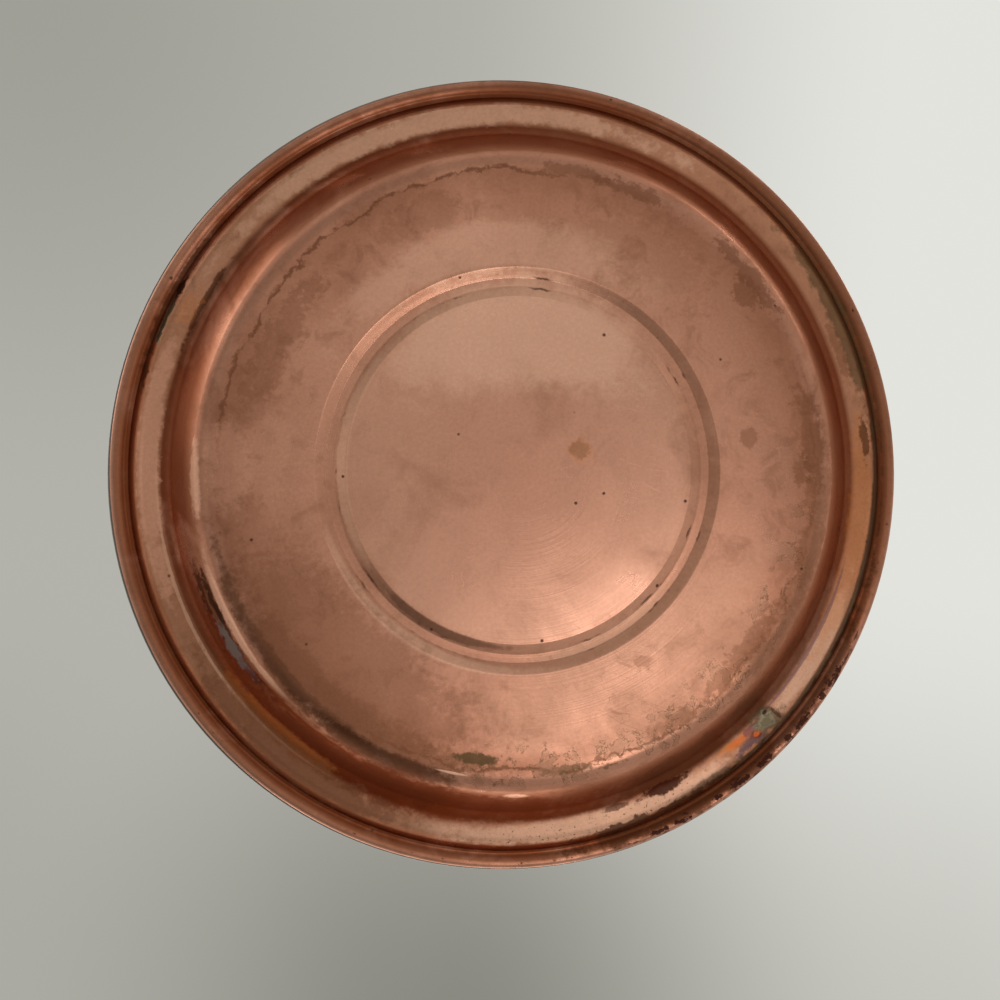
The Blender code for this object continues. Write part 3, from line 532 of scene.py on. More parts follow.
def rod(radius: float, low: float = -THROUGH, high: float = THROUGH, edge: float = 0) -> Form:
    """Turn a plain bar along +Z.

    Args:
        radius: Its radius.
        low: Its lower end.
        high: Its upper end.
        edge: The rounding at both ends.

    Returns:
        The bar.
    """
    corners = [(0, high, 0), (radius, high, edge), (radius, low, edge), (0, low, 0)]
    return Form.spun(rounded(corners, WIDE_STEP))


def across(radius: float, point: Vector, half: float = THROUGH, edge: float = 0) -> Form:
    """Lay a plain bar along Y.

    Args:
        radius: Its radius.
        point: Where it crosses the XZ plane.
        half: How far it reaches on each side.
        edge: The rounding at both ends.

    Returns:
        The bar.
    """
    return rod(radius, -half, half, edge).placed(across_at(point))


def washer(
    radii: tuple[float, float], heights: tuple[float, float], edges: tuple[float, float, float, float],
    steps: int = SMALL,
) -> Form:
    """Turn a flat ring about +Z with its four edges rounded.

    Args:
        radii: The radii of the hole and the rim.
        heights: Its first and second face.
        edges: The roundings, from the hole's first edge round to the rim's.
        steps: Steps round it.

    Returns:
        The ring.
    """
    places = ((radii[0], heights[0]), (radii[0], heights[1]), (radii[1], heights[1]), (radii[1], heights[0]))
    corners = [(*place, edge) for place, edge in zip(places, edges)]
    return Form.spun(ring_of(corners, WIDE_STEP), steps, ring=True)


# Node trees


class Signal:
    """A value on its way through a node tree, with plain arithmetic on it."""

    def __init__(self, tree: "Tree", socket: bpy.types.NodeSocket) -> None:
        """Hold an output socket and the tree it is in."""
        self.tree, self.socket = tree, socket

    def __add__(self, other: object) -> "Signal":
        """Add a signal or a number."""
        return self.tree.math("ADD", self, other)

    def __sub__(self, other: object) -> "Signal":
        """Take away a signal or a number."""
        return self.tree.math("SUBTRACT", self, other)

    def __mul__(self, other: object) -> "Signal":
        """Multiply by a signal or a number."""
        return self.tree.math("MULTIPLY", self, other)

    def __truediv__(self, other: object) -> "Signal":
        """Divide by a signal or a number."""
        return self.tree.math("DIVIDE", self, other)

    def __or__(self, other: object) -> "Signal":
        """Take the larger of this and another."""
        return self.tree.math("MAXIMUM", self, other)

    def __abs__(self) -> "Signal":
        """Drop the sign."""
        return self.tree.math("ABSOLUTE", self)

    def span(
        self, low: object, high: object, to_low: float = 0, to_high: float = 1, kind: str = "SMOOTHSTEP",
    ) -> "Signal":
        """Map this from one range to another, held at the ends.

        Args:
            low: Where the range starts.
            high: Where it ends.
            to_low: What its start becomes.
            to_high: What its end becomes.
            kind: How it runs in between.

        Returns:
            The mapped value.
        """
        values = self, low, high, to_low, to_high
        return self.tree.value("MapRange", *values, interpolation_type=kind, clamp=True)


class Tree:
    """Adds and links the nodes of one tree."""

    def __init__(self, tree: bpy.types.NodeTree) -> None:
        """Wrap a tree."""
        self.tree = tree

    def add(self, kind: str, *values: object, **settings: object) -> bpy.types.Node:
        """Add a shader node.

        Args:
            kind: Its type, without the prefix.
            values: What its first inputs get, in order.
            settings: What its properties get.

        Returns:
            The node.
        """
        node = self.tree.nodes.new("ShaderNode" + kind)
        for name, value in settings.items():
            setattr(node, name, value)
        return self.feed(node, dict(enumerate(values)))

    def feed(self, node: bpy.types.Node, values: dict[int | str, object]) -> bpy.types.Node:
        """Link some inputs of a node to signals, or set their own values.

        Args:
            node: The node.
            values: What each input gets, by its place or name.

        Returns:
            The same node.
        """
        for label, value in values.items():
            socket = node.inputs[label]
            if isinstance(value, Signal):
                self.tree.links.new(value.socket, socket)
            else:
                socket.default_value = (*value, 1) if socket.type == "RGBA" else value
        return node

    def out(self, node: bpy.types.Node, label: int | str = 0) -> Signal:
        """Give one output of a node, by its place or name."""
        return Signal(self, node.outputs[label])

    def value(self, kind: str, *values: object, **settings: object) -> Signal:
        """Add a node as add does, and give its first output."""
        return self.out(self.add(kind, *values, **settings))

    def math(self, operation: str, *values: object) -> Signal:
        """Work out one number from others."""
        return self.value("Math", *values, operation=operation)

    def parts(self, vector: Signal) -> list[Signal]:
        """Split a vector or colour into its three numbers."""
        return [Signal(self, socket) for socket in self.add("SeparateXYZ", vector).outputs]

    def length(self, x: Signal, y: Signal) -> Signal:
        """Give the length of a flat vector."""
        return self.math("SQRT", x * x + y * y)

    def scaled(self, vector: Signal, factor: object) -> Signal:
        """Multiply a vector or colour by a number."""
        return self.out(self.feed(self.add("VectorMath", vector, operation="SCALE"), {"Scale": factor}))

    def blend(self, factor: Signal, one: object, other: object) -> Signal:
        """Mix two colours."""
        node = self.add("Mix", factor, data_type="RGBA")
        return self.out(self.feed(node, {MIX_FIRST: one, MIX_SECOND: other}), MIX_RESULT)

    def ramp(self, value: Signal, stops: Sequence[tuple[float, Triple]]) -> Signal:
        """Turn a number into a colour.

        Args:
            value: The number.
            stops: Each place along the ramp with its colour.

        Returns:
            The colour.
        """
        node = self.add("ValToRGB", value)
        places = node.color_ramp.elements
        while len(places) < len(stops):
            places.new(1.0)
        for element, (place, colour) in zip(places, stops):
            element.position, element.color = place, (*colour, 1)
        return self.out(node)

    def mapped(
        self, place: Signal, stretch: Triple = (1, 1, 1), turn: Triple = (0, 0, 0),
        start: Triple = (0, 0, 0),
    ) -> Signal:
        """Read a place in a frame of its own.

        Args:
            place: The place.
            stretch: The frame's scale.
            turn: The frame's rotation in radians.
            start: Where the frame lies.

        Returns:
            The place in that frame.
        """
        return self.value("Mapping", place, start, turn, stretch, vector_type="TEXTURE")

    def noise(
        self, place: Signal, scale: object, detail: float = 3, roughness: float = 0.55,
        distortion: float = 0,
    ) -> Signal:
        """Add a noise from 0 to 1.

        Args:
            place: Where it is read, in millimetres on the kettle.
            scale: How fine it is.
            detail: How many finer layers it has.
            roughness: How strong they are.
            distortion: How far it is bent.

        Returns:
            The noise.
        """
        values = {"Scale": scale, "Detail": detail, "Roughness": roughness, "Distortion": distortion}
        return self.out(self.feed(self.add("TexNoise", place), values))

    def cells(self, place: Signal, scale: float, above: float) -> tuple[Signal, Signal]:
        """Scatter spots.

        Args:
            place: Where they are read.
            scale: How close they lie.
            above: The share of them that is left out.

        Returns:
            The distance from the nearest spot, and a mask of those that are kept.
        """
        node = self.feed(self.add("TexVoronoi", place), {"Scale": scale})
        kept = self.math("GREATER_THAN", self.parts(self.out(node, "Color"))[0], above)
        return self.out(node, "Distance"), kept

    def group(self, effect: "Effect", *values: object) -> list[Signal]:
        """Place a shared effect, and give its outputs."""
        node = self.add("Group", *values, node_tree=effect.group)
        return [Signal(self, socket) for socket in node.outputs]

    def bump(
        self, height: Signal, distance: float, strength: float = 1, normal: Signal | None = None,
    ) -> Signal:
        """Turn a height into a normal.

        Args:
            height: The height.
            distance: What a height of 1 stands for, in metres.
            strength: How much of it shows.
            normal: The normal that it is laid on, if not the surface's own.

        Returns:
            The normal.
        """
        values = {"Strength": strength, "Distance": distance, "Height": height}
        if normal is not None:
            values["Normal"] = normal
        return self.out(self.feed(self.add("Bump"), values))


@dataclass(frozen=True)
class Effect:
    """A node group with named inputs and outputs, shared by the finishes."""

    name: str
    inputs: dict[str, str]
    outputs: dict[str, str]
    fill: Callable[..., Iterable[Signal]]

    @property
    def group(self) -> bpy.types.NodeTree:
        """The group, built once.

        Returns:
            The node group.
        """
        found = bpy.data.node_groups.get(self.name)
        if found is not None:
            return found
        group = bpy.data.node_groups.new(self.name, "ShaderNodeTree")
        for sockets, way in ((self.inputs, "INPUT"), (self.outputs, "OUTPUT")):
            for label, kind in sockets.items():
                group.interface.new_socket(name=label, in_out=way, socket_type=f"NodeSocket{kind}")
        tree = Tree(group)
        given = group.nodes.new("NodeGroupInput")
        results = self.fill(tree, *[tree.out(given, label) for label in self.inputs])
        tree.feed(group.nodes.new("NodeGroupOutput"), dict(zip(self.outputs, results)))
        return group


def polar(tree: Tree, place: Signal) -> tuple[Signal, Signal, Signal]:
    """Read a place as radius, angle in degrees and turning lines about Z.

    Args:
        tree: The group's nodes.
        place: The place.

    Returns:
        The radius, the angle, and the point at which turning lines are read: the direction from
        Z, and radius plus height.
    """
    x, y, z = tree.parts(place)
    radius = tree.length(x, y)
    turned = tree.value("CombineXYZ", x / radius, y / radius, radius + z)
    return radius, tree.math("DEGREES", tree.math("ARCTAN2", y, x)), turned


def stained(
    tree: Tree, radius: Signal, angle: Signal, middle: Signal, spread: Signal, ring: Signal, width: Signal,
    ragged: Signal,
) -> tuple[Signal]:
    """Mask one ragged stain.

    Args:
        tree: The group's nodes.
        radius: The place's radius.
        angle: The place's angle.
        middle: The stain's angle.
        spread: How far it reaches round, in degrees.
        ring: The stain's radius.
        width: How far it reaches across, in millimetres.
        ragged: How much its edge is pushed in or out here.

    Returns:
        The mask.
    """
    turn = tree.math("WRAP", angle - middle, 180.0, -180.0) / spread
    return ((tree.length(turn, (radius - ring) / width) + ragged).span(0.62, 1.12, 1, 0),)


def scratched(tree: Tree, place: Signal, scale: Signal) -> tuple[Signal]:
    """Mask fine straight scratches in several directions, in patches.

    Args:
        tree: The group's nodes.
        place: Where they are read.
        scale: How close they lie.

    Returns:
        The mask.
    """
    masks = []
    for turn, long in ((0.4, 30.0), (1.9, 22.0), (2.7, 36.0)):
        line = tree.noise(tree.mapped(place, (long, 1, 1), (turn * 0.7, turn * 0.4, turn)), scale, 0)
        patch = tree.noise(place, 0.05 * turn + 0.03, 1).span(0.52, 0.62)
        masks.append(abs(line - 0.5).span(0.0, 0.012, 1, 0) * patch)
    return (masks[0] | masks[1] | masks[2],)


POLAR = Effect(
    "polar_place", {"Place": "Vector"}, {"Radius": "Float", "Angle": "Float", "Turned": "Vector"}, polar
)
STAIN_INPUTS = ("Radius", "Angle", "At Angle", "Spread", "At Radius", "Width", "Ragged")
STAIN = Effect("stain", dict.fromkeys(STAIN_INPUTS, "Float"), {"Mask": "Float"}, stained)
SCRATCHES = Effect("scratches", {"Place": "Vector", "Scale": "Float"}, {"Mask": "Float"}, scratched)


# Finishes


@dataclass(frozen=True)
class Finish:
    """A finish that pieces share. Each kind paints its own way."""

    name: str
    slot: Slot

    def material(self) -> bpy.types.Material:
        """Build the finish's material once, and give it to each piece.

        Returns:
            The material.
        """
        found = bpy.data.materials.get(self.name)
        if found is not None:
            return found
        material = bpy.data.materials.new(self.name)
        material.use_nodes = True
        tree = Tree(material.node_tree)
        place = tree.scaled(tree.out(tree.add("TexCoord"), "Object"), 1 / MM)
        tree.feed(material.node_tree.nodes["Principled BSDF"], self.paint(tree, place))
        return material

    def paint(self, tree: Tree, place: Signal) -> dict[int | str, object]:
        """Work out the shader's inputs.

        Args:
            tree: The material's nodes.
            place: The surface's place in the kettle's frame, in millimetres.

        Returns:
            What each named input of the Principled shader gets.
        """
        raise NotImplementedError


class Shade(Enum):
    """The colours that copper takes, with the painted highlight colours, in linear light."""

    # cleaner copper in the mottling and some patches, and a painted highlight on the shoulder
    CLEAN_AND_SHEEN = (0.76, 0.37, 0.25)
    # a painted highlight and painted reflection, partly also cleaner copper
    PALE_HIGHLIGHT = (0.92, 0.53, 0.37)
    # a painted highlight tint, laid where the lamp's highlight falls on the flat ring and the groove
    GOLD_HIGHLIGHT = (0.63, 0.335, 0.222)
    BROWN = (0.24, 0.092, 0.046)
    DARK = (0.075, 0.022, 0.009)
    BLACK = (0.022, 0.006, 0.003)
    BURNT = (0.060, 0.010, 0.004)
    RED = (0.20, 0.034, 0.009)
    ORANGE = (0.62, 0.20, 0.05)
    FLAME = (0.78, 0.17, 0.04)
    PURPLE = (0.20, 0.10, 0.11)
    SLATE = (0.19, 0.155, 0.135)
    SMOKE = (0.092, 0.062, 0.038)
    OLIVE = (0.125, 0.073, 0.033)
    VERDIGRIS = (0.33, 0.27, 0.17)


@dataclass(frozen=True)
class StainAndPaintedLight:
    """A stain on the copper, or a painted highlight or painted shade on it: where it lies, how far it
    spreads, and its shade.
    """

    angle: float
    spread: float
    radius: float
    width: float
    shade: Shade
    strength: float
    ragged: float = 0.9


# Each row holds the fields of one stain, painted highlight or painted shade, in order, and later rows lie
# over earlier ones
STAINS_AND_PAINTED_LIGHT = tuple(StainAndPaintedLight(*row) for row in (
    # the disc and the flat ring: lighter patches that are partly cleaner copper and partly painted
    # reflection, gold patches of painted highlight tint, brown patches that are partly tarnish and partly
    # painted shade, and single spots
    (270, 60, 34, 15, Shade.PALE_HIGHLIGHT, 0.62, 0.3), (60, 44, 61, 15, Shade.GOLD_HIGHLIGHT, 0.32, 0.5),
    (62, 26, 46.2, 1.8, Shade.GOLD_HIGHLIGHT, 0.7, 0.3), (122, 44, 49.2, 1.5, Shade.PALE_HIGHLIGHT, 0.45, 0.3),
    (256, 34, 49.2, 1.6, Shade.BROWN, 0.28, 0.3), (186, 42, 43.3, 1.5, Shade.PALE_HIGHLIGHT, 0.36, 0.3),
    (262, 46, 55, 7, Shade.PALE_HIGHLIGHT, 0.36, 0.6), (132, 36, 65, 18, Shade.BROWN, 0.5, 0.5),
    (128, 36, 73.5, 6, Shade.BROWN, 0.5, 0.8), (118, 26, 43.6, 1.3, Shade.DARK, 0.55, 0.4),
    (8, 24, 75, 4, Shade.BROWN, 0.4, 1.2), (28, 22, 75.5, 4.6, Shade.BROWN, 0.38, 0.9),
    (183, 13, 62, 7.5, Shade.CLEAN_AND_SHEEN, 0.4), (181, 10, 70, 6.5, Shade.CLEAN_AND_SHEEN, 0.5, 0.6),
    (205, 20, 66, 4.5, Shade.BROWN, 0.35, 1.4), (248, 10, 66, 5, Shade.BROWN, 0.25, 1.2),
    (281, 6.5, 75, 1.7, Shade.BROWN, 0.5, 1.5), (293, 8, 74.4, 2.2, Shade.BROWN, 0.6, 1.5),
    (319, 9, 75.4, 2.4, Shade.BROWN, 0.65, 1.6), (322, 3.4, 71.4, 3.2, Shade.BROWN, 0.6, 1.3),
    (353, 11, 73.6, 3, Shade.BROWN, 0.5, 1.5), (300, 16, 62, 8, Shade.BROWN, 0.18, 1),
    (340, 9, 15.4, 2.4, Shade.OLIVE, 0.45, 1), (342, 14, 15.4, 3.6, Shade.ORANGE, 0.22, 1),
    (352, 2.4, 57.8, 2.2, Shade.BROWN, 0.5, 1.2), (57, 2.4, 56, 2.2, Shade.BROWN, 0.4, 1.2),
    (0, 3.2, 70.5, 2.8, Shade.BROWN, 0.6, 1.2), (98, 5.5, 71, 1.5, Shade.OLIVE, 0.85, 1.1),
    (82, 5, 74.2, 1.1, Shade.OLIVE, 0.5, 1.8), (73, 3, 75.6, 0.8, Shade.OLIVE, 0.65, 1.7),
    (40, 14, 72, 2.6, Shade.BROWN, 0.42, 1.8), (58, 5, 72.6, 2.4, Shade.BROWN, 0.35, 1.8),
    # the corner: painted glints, a dark stretch that is partly painted shade, and a painted highlight along
    # the band under the scar
    (144, 25, 75.4, 2, Shade.DARK, 0.42, 0.7), (116, 19, 77.6, 2.8, Shade.DARK, 0.6, 0.7),
    (151, 15, 79.2, 1.2, Shade.PALE_HIGHLIGHT, 0.62, 0.4), (178, 8, 78.6, 1.5, Shade.PALE_HIGHLIGHT, 0.5, 0.8),
    (90.5, 2.6, 80.2, 0.8, Shade.PALE_HIGHLIGHT, 0.85, 0.6), (102.5, 3.4, 75.4, 0.35, Shade.PALE_HIGHLIGHT, 0.95, 0.3),
    # the wall: red-brown heat at the lower left, and the scar
    (48, 38, 85.6, 4.6, Shade.DARK, 0.55, 0.5), (112, 42, 85, 6, Shade.RED, 0.9, 0.5),
    (119, 20, 85, 5, Shade.BURNT, 0.3, 0.6), (210, 16, 85, 4.5, Shade.DARK, 0.3, 0.6),
    (133, 14, 88, 2.6, Shade.ORANGE, 0.32, 0.7), (131, 16, 80.9, 0.55, Shade.RED, 0.9, 0.6),
    (151, 12.5, 82.2, 2.2, Shade.BURNT, 0.92, 0.9), (146.5, 9, 83.5, 0.8, Shade.RED, 0.85, 1.4),
    (147.5, 6, 82.1, 1.4, Shade.PURPLE, 0.8, 1), (148, 5, 82, 1.2, Shade.SLATE, 0.9, 1.3),
    (156, 3.6, 82, 0.6, Shade.BROWN, 0.6, 1.4), (158, 5.5, 81, 0.8, Shade.BLACK, 0.8, 1.3),
    (208, 9, 88.6, 0.9, Shade.DARK, 0.7, 1.2),
    # the shoulder: painted highlights along its bright stretches, a brown patch that is partly painted
    # shade, orange tints, and the grey-green patch with its halo
    (31, 15, 91.8, 2.6, Shade.PALE_HIGHLIGHT, 0.6, 0.5), (78, 30, 92.2, 3.2, Shade.PALE_HIGHLIGHT, 0.62, 0.6),
    (155, 32, 89.4, 0.5, Shade.PALE_HIGHLIGHT, 0.5, 0.5), (182, 24, 91.6, 3, Shade.CLEAN_AND_SHEEN, 0.75, 0.7),
    (258, 42, 91.6, 3, Shade.PALE_HIGHLIGHT, 0.5, 0.7), (10, 22, 91.4, 3.4, Shade.ORANGE, 0.38, 0.7),
    (128, 24, 92, 4.6, Shade.BROWN, 0.7, 0.7), (206.5, 4, 91, 2.6, Shade.ORANGE, 0.32, 1.4),
    (335, 18, 94.2, 2.4, Shade.OLIVE, 0.72, 0.8), (339, 5, 91, 1.6, Shade.BROWN, 0.5, 1.2),
    (355, 3.6, 92.6, 1.2, Shade.DARK, 0.7, 1.5), (30, 17, 89.5, 0.55, Shade.PURPLE, 0.65, 0.5),
    (22, 42, 95.5, 1.4, Shade.SMOKE, 0.8, 0.35), (24, 40, 95.9, 0.9, Shade.VERDIGRIS, 0.42, 0.4),
    (58, 9, 94.6, 1.5, Shade.SMOKE, 0.7, 0.9), (46, 5.4, 92.6, 3.4, Shade.SMOKE, 0.6, 1.2),
    (44.4, 2.9, 91, 3.7, Shade.SMOKE, 0.85, 0.8), (49, 3.6, 92.9, 2, Shade.PURPLE, 0.8, 1.3),
    (50.8, 3.6, 90.6, 1.7, Shade.ORANGE, 0.62, 1.1), (49.6, 2.8, 90.4, 1.1, Shade.FLAME, 0.62, 1.4),
    (47.6, 1.5, 90.3, 1.1, Shade.PURPLE, 0.7, 1.3), (46.8, 1.4, 92.5, 1.2, Shade.RED, 0.7, 1.3),
    (46.9, 0.8, 92.4, 0.7, Shade.FLAME, 0.7, 1.3), (44.4, 2.1, 91.4, 2.6, Shade.VERDIGRIS, 0.85, 1.1),
    (44.6, 1.4, 91.8, 1.6, Shade.SMOKE, 0.5, 2), (42.3, 0.35, 92, 2.4, Shade.DARK, 0.7, 0.5),
    (43.5, 0.6, 89.8, 0.6, Shade.BLACK, 0.85, 1), (64.8, 5, 89.4, 1.4, Shade.BURNT, 0.9, 1.2),
    (72.5, 2.2, 89.4, 0.8, Shade.BURNT, 0.7, 1.5),
    # the groove and the lip
    (275, 88, 95, 0.8, Shade.DARK, 0.4, 0.4), (275, 95, 98.6, 1.8, Shade.DARK, 0.26, 0.4),
    (335, 44, 99.8, 2, Shade.BROWN, 0.5, 0.4), (265, 75, 101.7, 0.7, Shade.DARK, 0.55, 0.2),
    (66, 16, 95.2, 1.3, Shade.DARK, 0.85, 1.7), (50, 36, 98.2, 3, Shade.DARK, 0.66, 0.9),
    (0, 36, 96.6, 1.9, Shade.DARK, 0.6, 0.7), (309, 20, 97, 2.4, Shade.BROWN, 0.45, 0.8),
    (336, 24, 96.4, 1.8, Shade.OLIVE, 0.6, 0.8), (208, 15, 96.8, 1.7, Shade.DARK, 0.66, 0.9),
    (203, 4, 95.4, 0.9, Shade.VERDIGRIS, 0.7, 1.6), (209.2, 1.9, 95.6, 1.1, Shade.BLACK, 1, 1.1),
    (204, 5, 95.5, 0.6, Shade.BLACK, 0.8, 1.9), (195.5, 3.6, 95.9, 1, Shade.DARK, 0.85, 1.4),
))


class Spot:
    """A point of the copper: its place, radius, angle and turning coordinates."""

    def __init__(self, tree: Tree, place: Signal) -> None:
        """Read the place."""
        self.tree, self.place = tree, place
        self.radius, self.angle, self.turned = tree.group(POLAR, place)

    def patch(
        self, angle: float, spread: float, radius: float, width: float, ragged: object = 0.0,
    ) -> Signal:
        """Mask a patch of the copper.

        Args:
            angle: Its middle, in degrees.
            spread: How far it reaches round.
            radius: Its middle, in millimetres.
            width: How far it reaches across.
            ragged: How much its edge is pushed in or out.

        Returns:
            The mask.
        """
        return self.tree.group(STAIN, self.radius, self.angle, angle, spread, radius, width, ragged)[0]


@dataclass(frozen=True)
class TarnishedCopper(Finish):
    """Copper that has stood on a hob: mottled, ringed with tide lines, stained at its edge."""

    roughness: float = 0.30
    tones: tuple[tuple[float, Triple], ...] = (
        (0.0, (0.64, 0.30, 0.20)), (41.0, (0.72, 0.36, 0.245)), (43.2, (0.67, 0.32, 0.21)),
        (46.2, (0.62, 0.285, 0.185)), (48.6, (0.61, 0.285, 0.185)), (50.2, (0.66, 0.31, 0.205)),
        (60.0, (0.62, 0.285, 0.185)), (70.0, (0.52, 0.225, 0.14)), (73.5, (0.50, 0.215, 0.135)),
        (76.5, (0.54, 0.255, 0.17)), (79.0, (0.44, 0.185, 0.115)), (80.6, (0.30, 0.10, 0.05)),
        (82.0, (0.205, 0.053, 0.024)), (88.1, (0.195, 0.049, 0.021)), (89.5, (0.55, 0.245, 0.145)),
        (93.6, (0.56, 0.26, 0.155)), (95.4, (0.30, 0.085, 0.034)), (96.8, (0.20, 0.050, 0.019)),
        (98.2, (0.22, 0.056, 0.022)), (99.8, (0.34, 0.125, 0.066)), (101.6, (0.56, 0.29, 0.21)),
    )
    tide: float = 73.6
    dirty: tuple[Point, ...] = ((44.8, 0.50), (47.3, 0.53))     # each line's radius and threshold
    flaked: Point = (26.0, 72.0)                                # the lip's flaked stretch, in degrees
    flaked_radius: float = 100.1
    flakes: tuple[Point, ...] = (
        (32.0, 2.3), (35.6, 0.8), (40.2, 2.3), (43.6, 0.8), (48.6, 2.0),
        (53.3, 2.5), (57.3, 0.8), (63.6, 1.9), (67.4, 1.8),
    )

    def paint(self, tree: Tree, place: Signal) -> dict[int | str, object]:
        """Lay the tones by radius, then the clouds, the tide lines, the stains with the painted highlights
        and shade, and the pits.

        Args:
            tree: The material's nodes.
            place: The surface's place, in millimetres.

        Returns:
            What each named input of the Principled shader gets.
        """
        spot = Spot(tree, place)
        edge = self.tones[-1][0]
        wander = tree.noise(place, 0.07, 3) * 2.4 - 1.2
        stops = [(at / edge, tone) for at, tone in self.tones]
        colour = tree.ramp((spot.radius + wander * 0.25) / edge, stops)
        clouds = tree.noise(place, 0.035, 4, 0.6, 0.6)
        blotches = tree.noise(place, 0.13, 4, 0.62, 0.8).span(0.50, 0.70)
        blotches = blotches * spot.radius.span(34, 60, 0.10, 0.34)
        for mask, shade in (
            (clouds.span(0.50, 0.72, 0, 0.34), Shade.BROWN), (clouds.span(0.50, 0.32, 0, 0.30), Shade.CLEAN_AND_SHEEN),
            (blotches, Shade.BROWN),
        ):
            colour = tree.blend(mask, colour, shade.value)
        colour, worn = self.tide_lines(spot, colour)
        frayed = (tree.noise(place, 0.13, 2) * 0.9 + tree.noise(place, 0.5, 4, 0.7)) * 1.7 - 1.615
        # the rows lay real stains, and painted highlights and painted shade, into the colour
        for stain in STAINS_AND_PAINTED_LIGHT:
            mask = spot.patch(stain.angle, stain.spread, stain.radius, stain.width, frayed * stain.ragged)
            mask = mask * stain.strength
            colour = tree.blend(mask, colour, stain.shade.value)
            if stain.shade not in (Shade.CLEAN_AND_SHEEN, Shade.PALE_HIGHLIGHT):
                worn = worn | mask
        colour, pits = self.pits(spot, colour)
        grain = tree.noise(place, 1.1, 3, 0.7).span(0.25, 0.75, 0.90, 1.08, "LINEAR")
        return {"Base Color": tree.scaled(colour, grain), **self.gloss(spot, clouds, worn, pits)}

    def tide_lines(self, spot: Spot, colour: Signal) -> tuple[Signal, Signal]:
        """Draw the wandering line that dried liquid left near the corner.

        Args:
            spot: The point of the copper.
            colour: The copper's colour so far.

        Returns:
            The colour with the lines on it, and their mask.
        """
        tree, place = spot.tree, spot.place
        coarse = tree.noise(place, 0.075, 2) * 7 - 3.5
        fine = tree.noise(place, 0.5, 4, 0.7) * 3.4 - 1.7
        inside = coarse + fine + self.tide - spot.radius
        patches = tree.noise(place, 0.19, 2)
        line = (abs(inside) / patches.span(0.35, 0.65, 0.35, 1.1)).span(0.1, 1.0, 1, 0)
        strength = spot.patch(226, 60, 73, 12) * 0.60 + 0.25
        for angle, spread, more in ((88, 36, 0.50), (20, 40, 0.30)):
            strength = spot.patch(angle, spread, 73, 12) * more + strength
        line = line * patches.span(0.36, 0.50, 0.45, 1.0) * strength
        # a darker band of tarnish just inside the tide line
        tide_tarnish = inside.span(-0.3, 0.3) * inside.span(7.0, 0.5) * 0.20
        field = tree.noise(place, 0.16, 5, 0.62, 0.5)
        rim = abs(field - 0.55).span(0.0, 0.018, 0.75, 0)
        islands = (rim | field.span(0.55, 0.60, 0, 0.28)) * spot.patch(58, 72, 72, 7)
        colour = tree.blend(line | tide_tarnish, colour, Shade.BROWN.value)
        return tree.blend(islands, colour, Shade.OLIVE.value), line | islands

    def pits(self, spot: Spot, colour: Signal) -> tuple[Signal, Signal]:
        """Add burnt pits on the lip, speckle on the shoulder, dirt in the groove and stray specks.

        Args:
            spot: The point of the copper.
            colour: The copper's colour so far.

        Returns:
            The colour with the pits in it, and their mask.
        """
        tree, place, (first, last) = spot.tree, spot.place, self.flaked
        crumbs = tree.noise(tree.mapped(spot.turned, (0.055, 0.055, 1.5)), 1.0, 4, 0.7)
        burnt = spot.patch(50, 31, 100.2, 2) * crumbs.span(0.56, 0.60, 0, 0.8)
        swell = tree.ramp(spot.angle.span(first, last, kind="LINEAR"), [
            ((at + side * spread - first) / (last - first), (1.0 - abs(side),) * 3)
            for at, spread in self.flakes for side in (-1, 0, 1)
        ])
        swell = tree.noise(place, 0.8, 4, 0.7) * 3.8 + (crumbs * 5.2 + swell.span(0.0, 0.45, -5.2, -3.75))
        flake = (swell - abs(spot.radius - self.flaked_radius)).span(0.0, 0.25, 0, 0.97)
        speckled = spot.patch(77, 24, 92.6, 3.6) * tree.noise(place, 1.3, 3, 0.7).span(0.60, 0.68, 0, 0.8)
        burnt = burnt | flake | speckled
        arcs = tree.noise(tree.mapped(spot.turned, (0.45, 0.45, 400.0)), 3.4, 2)
        drift = tree.noise(place, 0.5, 3) * 1.2 - 0.6
        lines = []
        for at, threshold in self.dirty:
            dash = arcs.span(threshold, threshold + 0.16, 0.06, 0.62)
            lines.append(abs(spot.radius + drift - at).span(0.08, dash * 0.35 + 0.25, 1, 0) * dash)
        dirt = lines[0] | lines[1]
        away, kept = tree.cells(place, 0.14, 0.74)
        speck = away.span(0.035, 0.085, 0.75, 0) * kept
        for mask, shade in ((speck, Shade.DARK), (dirt, Shade.DARK), (burnt, Shade.BURNT)):
            colour = tree.blend(mask, colour, shade.value)
        return colour, burnt | speck | dirt

    def gloss(self, spot: Spot, clouds: Signal, worn: Signal, pits: Signal) -> dict[str, object]:
        """Set how the copper shines: rough where it is stained, with turning lines and scratches.

        Args:
            spot: The point of the copper.
            clouds: The large mottling.
            worn: The mask of stains and tide lines.
            pits: The mask of pits.

        Returns:
            The shader's inputs apart from its colour.
        """
        tree = spot.tree
        marks, = tree.group(SCRATCHES, spot.place, 0.35)
        roughness = clouds.span(0.3, 0.7, self.roughness - 0.05, self.roughness + 0.08)
        lines = tree.noise(tree.mapped(spot.turned, (1.6, 1.6, 0.34)), 1.0, 2, 0.6)
        dents = tree.bump(tree.noise(spot.place, 0.035, 1), 0.0003)
        return {
            "Roughness": worn * 0.18 + roughness + pits * 0.3 + marks * 0.08,
            "Metallic": pits.span(0.2, 0.9, 1.0, 0.35),
            "Specular Tint": (1.0, 0.78, 0.66),
            "Normal": tree.bump(lines - marks * 0.25 - pits * 1.2, 0.000014, normal=dents),
        }


